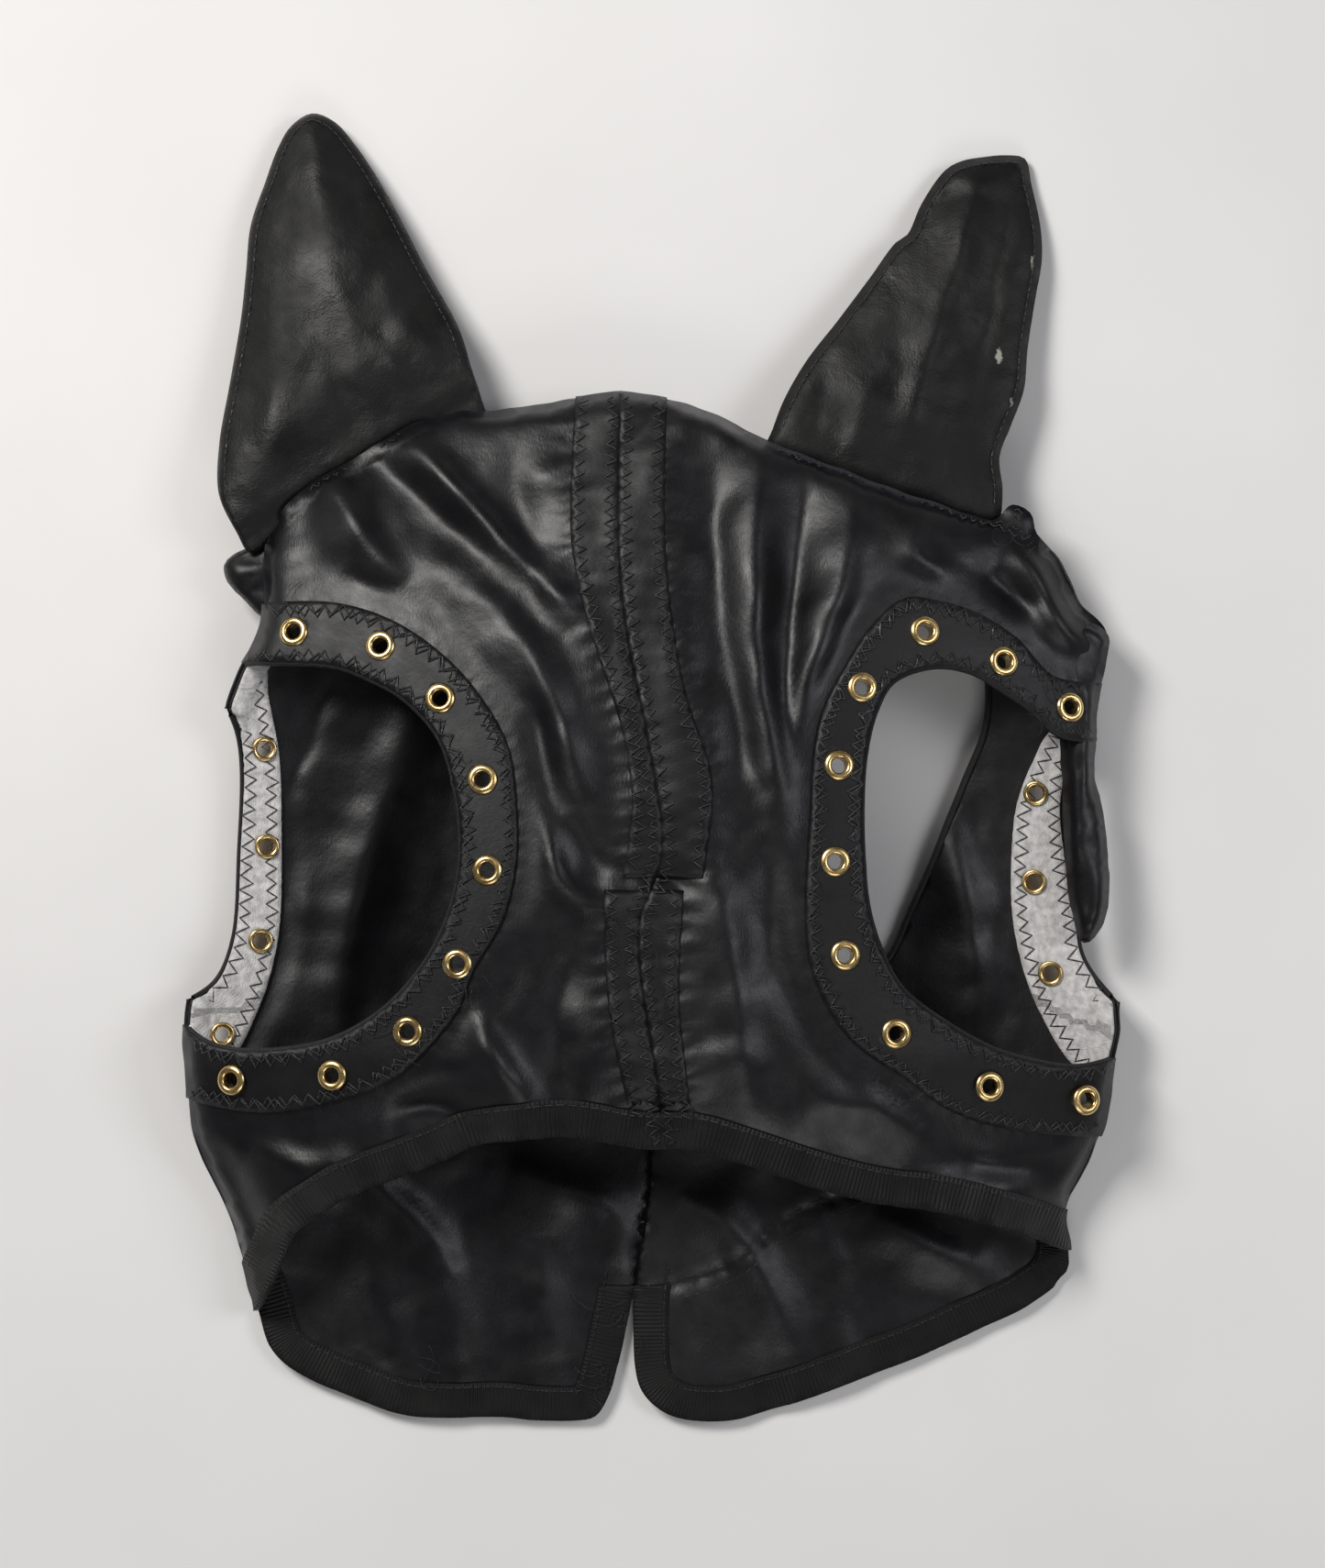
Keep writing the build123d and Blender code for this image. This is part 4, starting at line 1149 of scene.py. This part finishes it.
# ---- Loose folds at the sides ---------------------------------------------------------------
SIDE_FOLDS = {
    "right_side_fold": {
        "outline": [
            (124, 42), (131, 45.5), (139, 45), (143.5, 41), (143, 33.3), (140.5, 21.9), (139.6, 8), (139.2, -3.9),
            (141.6, -12.4), (143.4, -29.6), (143.4, -43.9), (140.8, -51.5), (136, -55), (131, -38), (129.6, -12.4),
            (128.6, 4), (128.2, 22),
        ],
        "height": 19.5, "loft": 4.2, "half": 4.0,
        "folds": [([(128, 38), (135, 24), (134.5, 4), (137, -20)], 2.2, 3.0), ([(140, 38), (139, 24)], -1.5, 2.5),
                  ([(134, -22), (138, -34), (138, -48)], 2.0, 3.0), ([(139, -8), (137.5, -16)], -1.4, 2.0)],
    },
    "left_side_fold": {
        "outline": [
            (-119, 72), (-126, 69.5), (-132, 67), (-134.8, 63.5), (-133.6, 58.5), (-129.5, 54), (-124, 48.6),
            (-119.5, 46), (-116, 56),
        ],
        "height": 13.0, "loft": 3.6, "half": 5.0,
        "folds": [([(-133, 62), (-126, 62), (-118, 63)], 1.8, 2.2), ([(-130, 57), (-122, 56)], -1.4, 2.0)],
    },
}


def side_fold(name, given):
    area = uneven(smooth(given["outline"], closed=True), 0.35, 4.0)
    border = Route(area, closed=True, raw=True)

    def half(p):
        t = np.clip(border.near(p)[0] / given["half"], 0, 1)
        return np.sqrt(np.clip(1 - (1 - t) ** 2, 0, 1)) * given["loft"]

    def over(p):
        quiet = ramp(border.near(p)[0], 0, 4)
        return given["height"] + half(p) + quiet * (fold_height(p, given["folds"]) + wrinkles(p, 9.0, 1.3, 41.0))

    def under(p):
        return given["height"] - half(p)

    faces = []
    for height, up in ((over, 1), (under, -1)):
        layer = Layer(height, [(area, True)], up, area=area, rings=(0.4, 1.0, 1.8))
        faces.append(layer.cut(np.ones(len(layer.tris), bool)))
    fold = thicken(dress(make_mesh(name, faces), SATIN, "hood"), 0.4)
    declare(fold)


for name, given in SIDE_FOLDS.items():
    side_fold(name, given)

# ---- Turned edges of the side openings ------------------------------------------------------
for side in HOLES:
    runs = []
    for name, height, lift in (("front_free_route", front_z, 0.2), ("rear_free_route", back_z, 0.3)):
        spots = LOOP[side][name].p
        keep = inside(HULL, spots) & (EDGE.near(spots)[0] > 0.4)
        line = np.column_stack([spots, height(spots) + lift])
        runs += [line[a:b] for a, b in split_runs(keep)]
    edge = thread_line(f"{side}_opening_edge", runs, 0.95, body=None)
    edge.data.materials.clear()
    dress(edge, BAND_CLOTH, "hood")

# ---- Stitches over the ear seams ------------------------------------------------------------
for side, route in zip(EARS, EAR_JOINS):
    def on_hood(q):
        return inside(HULL, q) & (EDGE.near(q)[0] > 0.6)

    runs = []
    for offset in (1.8, 3.6, -1.8, -3.6):
        runs += zigzag(route, offset, 1.6, 3.4, front_z, 0.45, on_hood)
    thread_line(f"{side}_ear_seam_stitching", runs, 0.26)

# ---- Loose ends of thread -------------------------------------------------------------------
FRAYED = [
    (-3.5, -48, 6), (2.0, -104, 5), (-2, -124, 4), (127, 21, 6), (117, 20, 4),
    (-54, -66, 4), (-60, 4, 3), (-80, -80, 3), (3, 112, 4), (77, -98, 4), (-116, 50, 3), (119, 72, 5),
]


FRAYED_FLAP = [(-14, -196, 9), (-10, -176, 6), (-70, -190, 4)]


def frayed_ends(places):
    runs = []
    for x, y, count in places:
        for _ in range(count):
            spot = np.array([x, y]) + rng.normal(0, 3.0, 2)
            heading = rng.uniform(0, 2 * math.pi)
            curl = rng.normal(0, 0.22)
            steps = int(rng.integers(7, 18))
            flat = [spot]
            for _ in range(steps):
                heading += curl + rng.normal(0, 0.12)
                flat.append(flat[-1] + 0.8 * np.array([math.cos(heading), math.sin(heading)]))
            flat = np.array(flat)
            keep = inside(ABOVE_HEM, flat) & inside(HULL, flat) & (EDGE.near(flat)[0] > 2)
            keep |= inside(FLAP_AREA["left"], flat) | inside(FLAP_AREA["right"], flat)
            over = np.where(inside(ABOVE_HEM, flat), front_z(flat) + 1.5, back_z(flat) + 1.8)
            rise = 0.9 * np.sin(np.linspace(0, math.pi, len(flat)))
            line = np.column_stack([flat, over + rise])
            runs += [line[a:b] for a, b in split_runs(keep)]
    return runs


thread_line("loose_threads", frayed_ends(FRAYED), 0.09)
blended_thread("left_flap_loose_threads", frayed_ends(FRAYED_FLAP), 0.09, lambda o: blend_flap(o, "left"))

# ---- Rolled edge of the opening in the back -------------------------------------------------
gap = Route(BACK_GAP, closed=True, raw=True)
spots, _ = gap.at(np.arange(0, gap.length, 2.0))
spots = spots[spots[:, 1] < BACK_CROWN_Y + 1]
roll = thread_line("back_opening_hem", [np.column_stack([spots, np.maximum(back_z(spots) + 0.9, 1.3)])], 1.2, body=None)
roll.data.materials.clear()
dress(roll, SATIN, "hood")

# ---- Stage, light and camera ----------------------------------------------------------------
bpy.ops.mesh.primitive_plane_add(size=16.0, location=(0, 0, 0))
floor = bpy.context.object
floor.name = "floor"
stage_mat, stage_tree, stage_shader = new_material("pale_floor", (0.72, 0.71, 0.69), 0.85)
vary(stage_tree, stage_shader, 6.0, (0.74, 0.73, 0.715), (0.78, 0.77, 0.755), "Object")
floor.data.materials.append(stage_mat)


def area_light(name, place, size, power, color=(1, 1, 1)):
    data = bpy.data.lights.new(name, "AREA")
    data.shape = "RECTANGLE"
    data.size, data.size_y = size
    data.energy = power
    data.color = color
    obj = bpy.data.objects.new(name, data)
    obj.location = place
    obj.rotation_euler = (Vector((0, 0, 0.02)) - Vector(place)).to_track_quat("-Z", "Y").to_euler()
    bpy.context.collection.objects.link(obj)


area_light("key", (-0.62, 0.62, 0.95), (0.42, 0.42), 14.0, (1.0, 0.98, 0.95))
area_light("fill", (0.85, 0.15, 0.9), (0.5, 0.5), 4.0, (0.94, 0.95, 1.0))
area_light("low", (0.15, -0.9, 0.75), (0.6, 0.4), 2.5)
world = bpy.data.worlds.new("studio")
world.use_nodes = True
world.node_tree.nodes["Background"].inputs["Color"].default_value = (0.92, 0.94, 1.0, 1)
world.node_tree.nodes["Background"].inputs["Strength"].default_value = 0.13
bpy.context.scene.world = world

FRAME_HEIGHT = 0.4886  # of the picture, at the middle of the hood
LENS = 80.0
SENSOR = 36.0
camera = bpy.data.cameras.new("camera")
camera.lens = LENS
camera.sensor_width = SENSOR
cam = bpy.data.objects.new("camera", camera)
MIDDLE_Z = 0.028
cam.location = (0.0036, -0.0053, MIDDLE_Z + FRAME_HEIGHT * LENS / SENSOR)
bpy.context.collection.objects.link(cam)
bpy.context.scene.camera = cam
bpy.context.scene.view_settings.view_transform = "Standard"
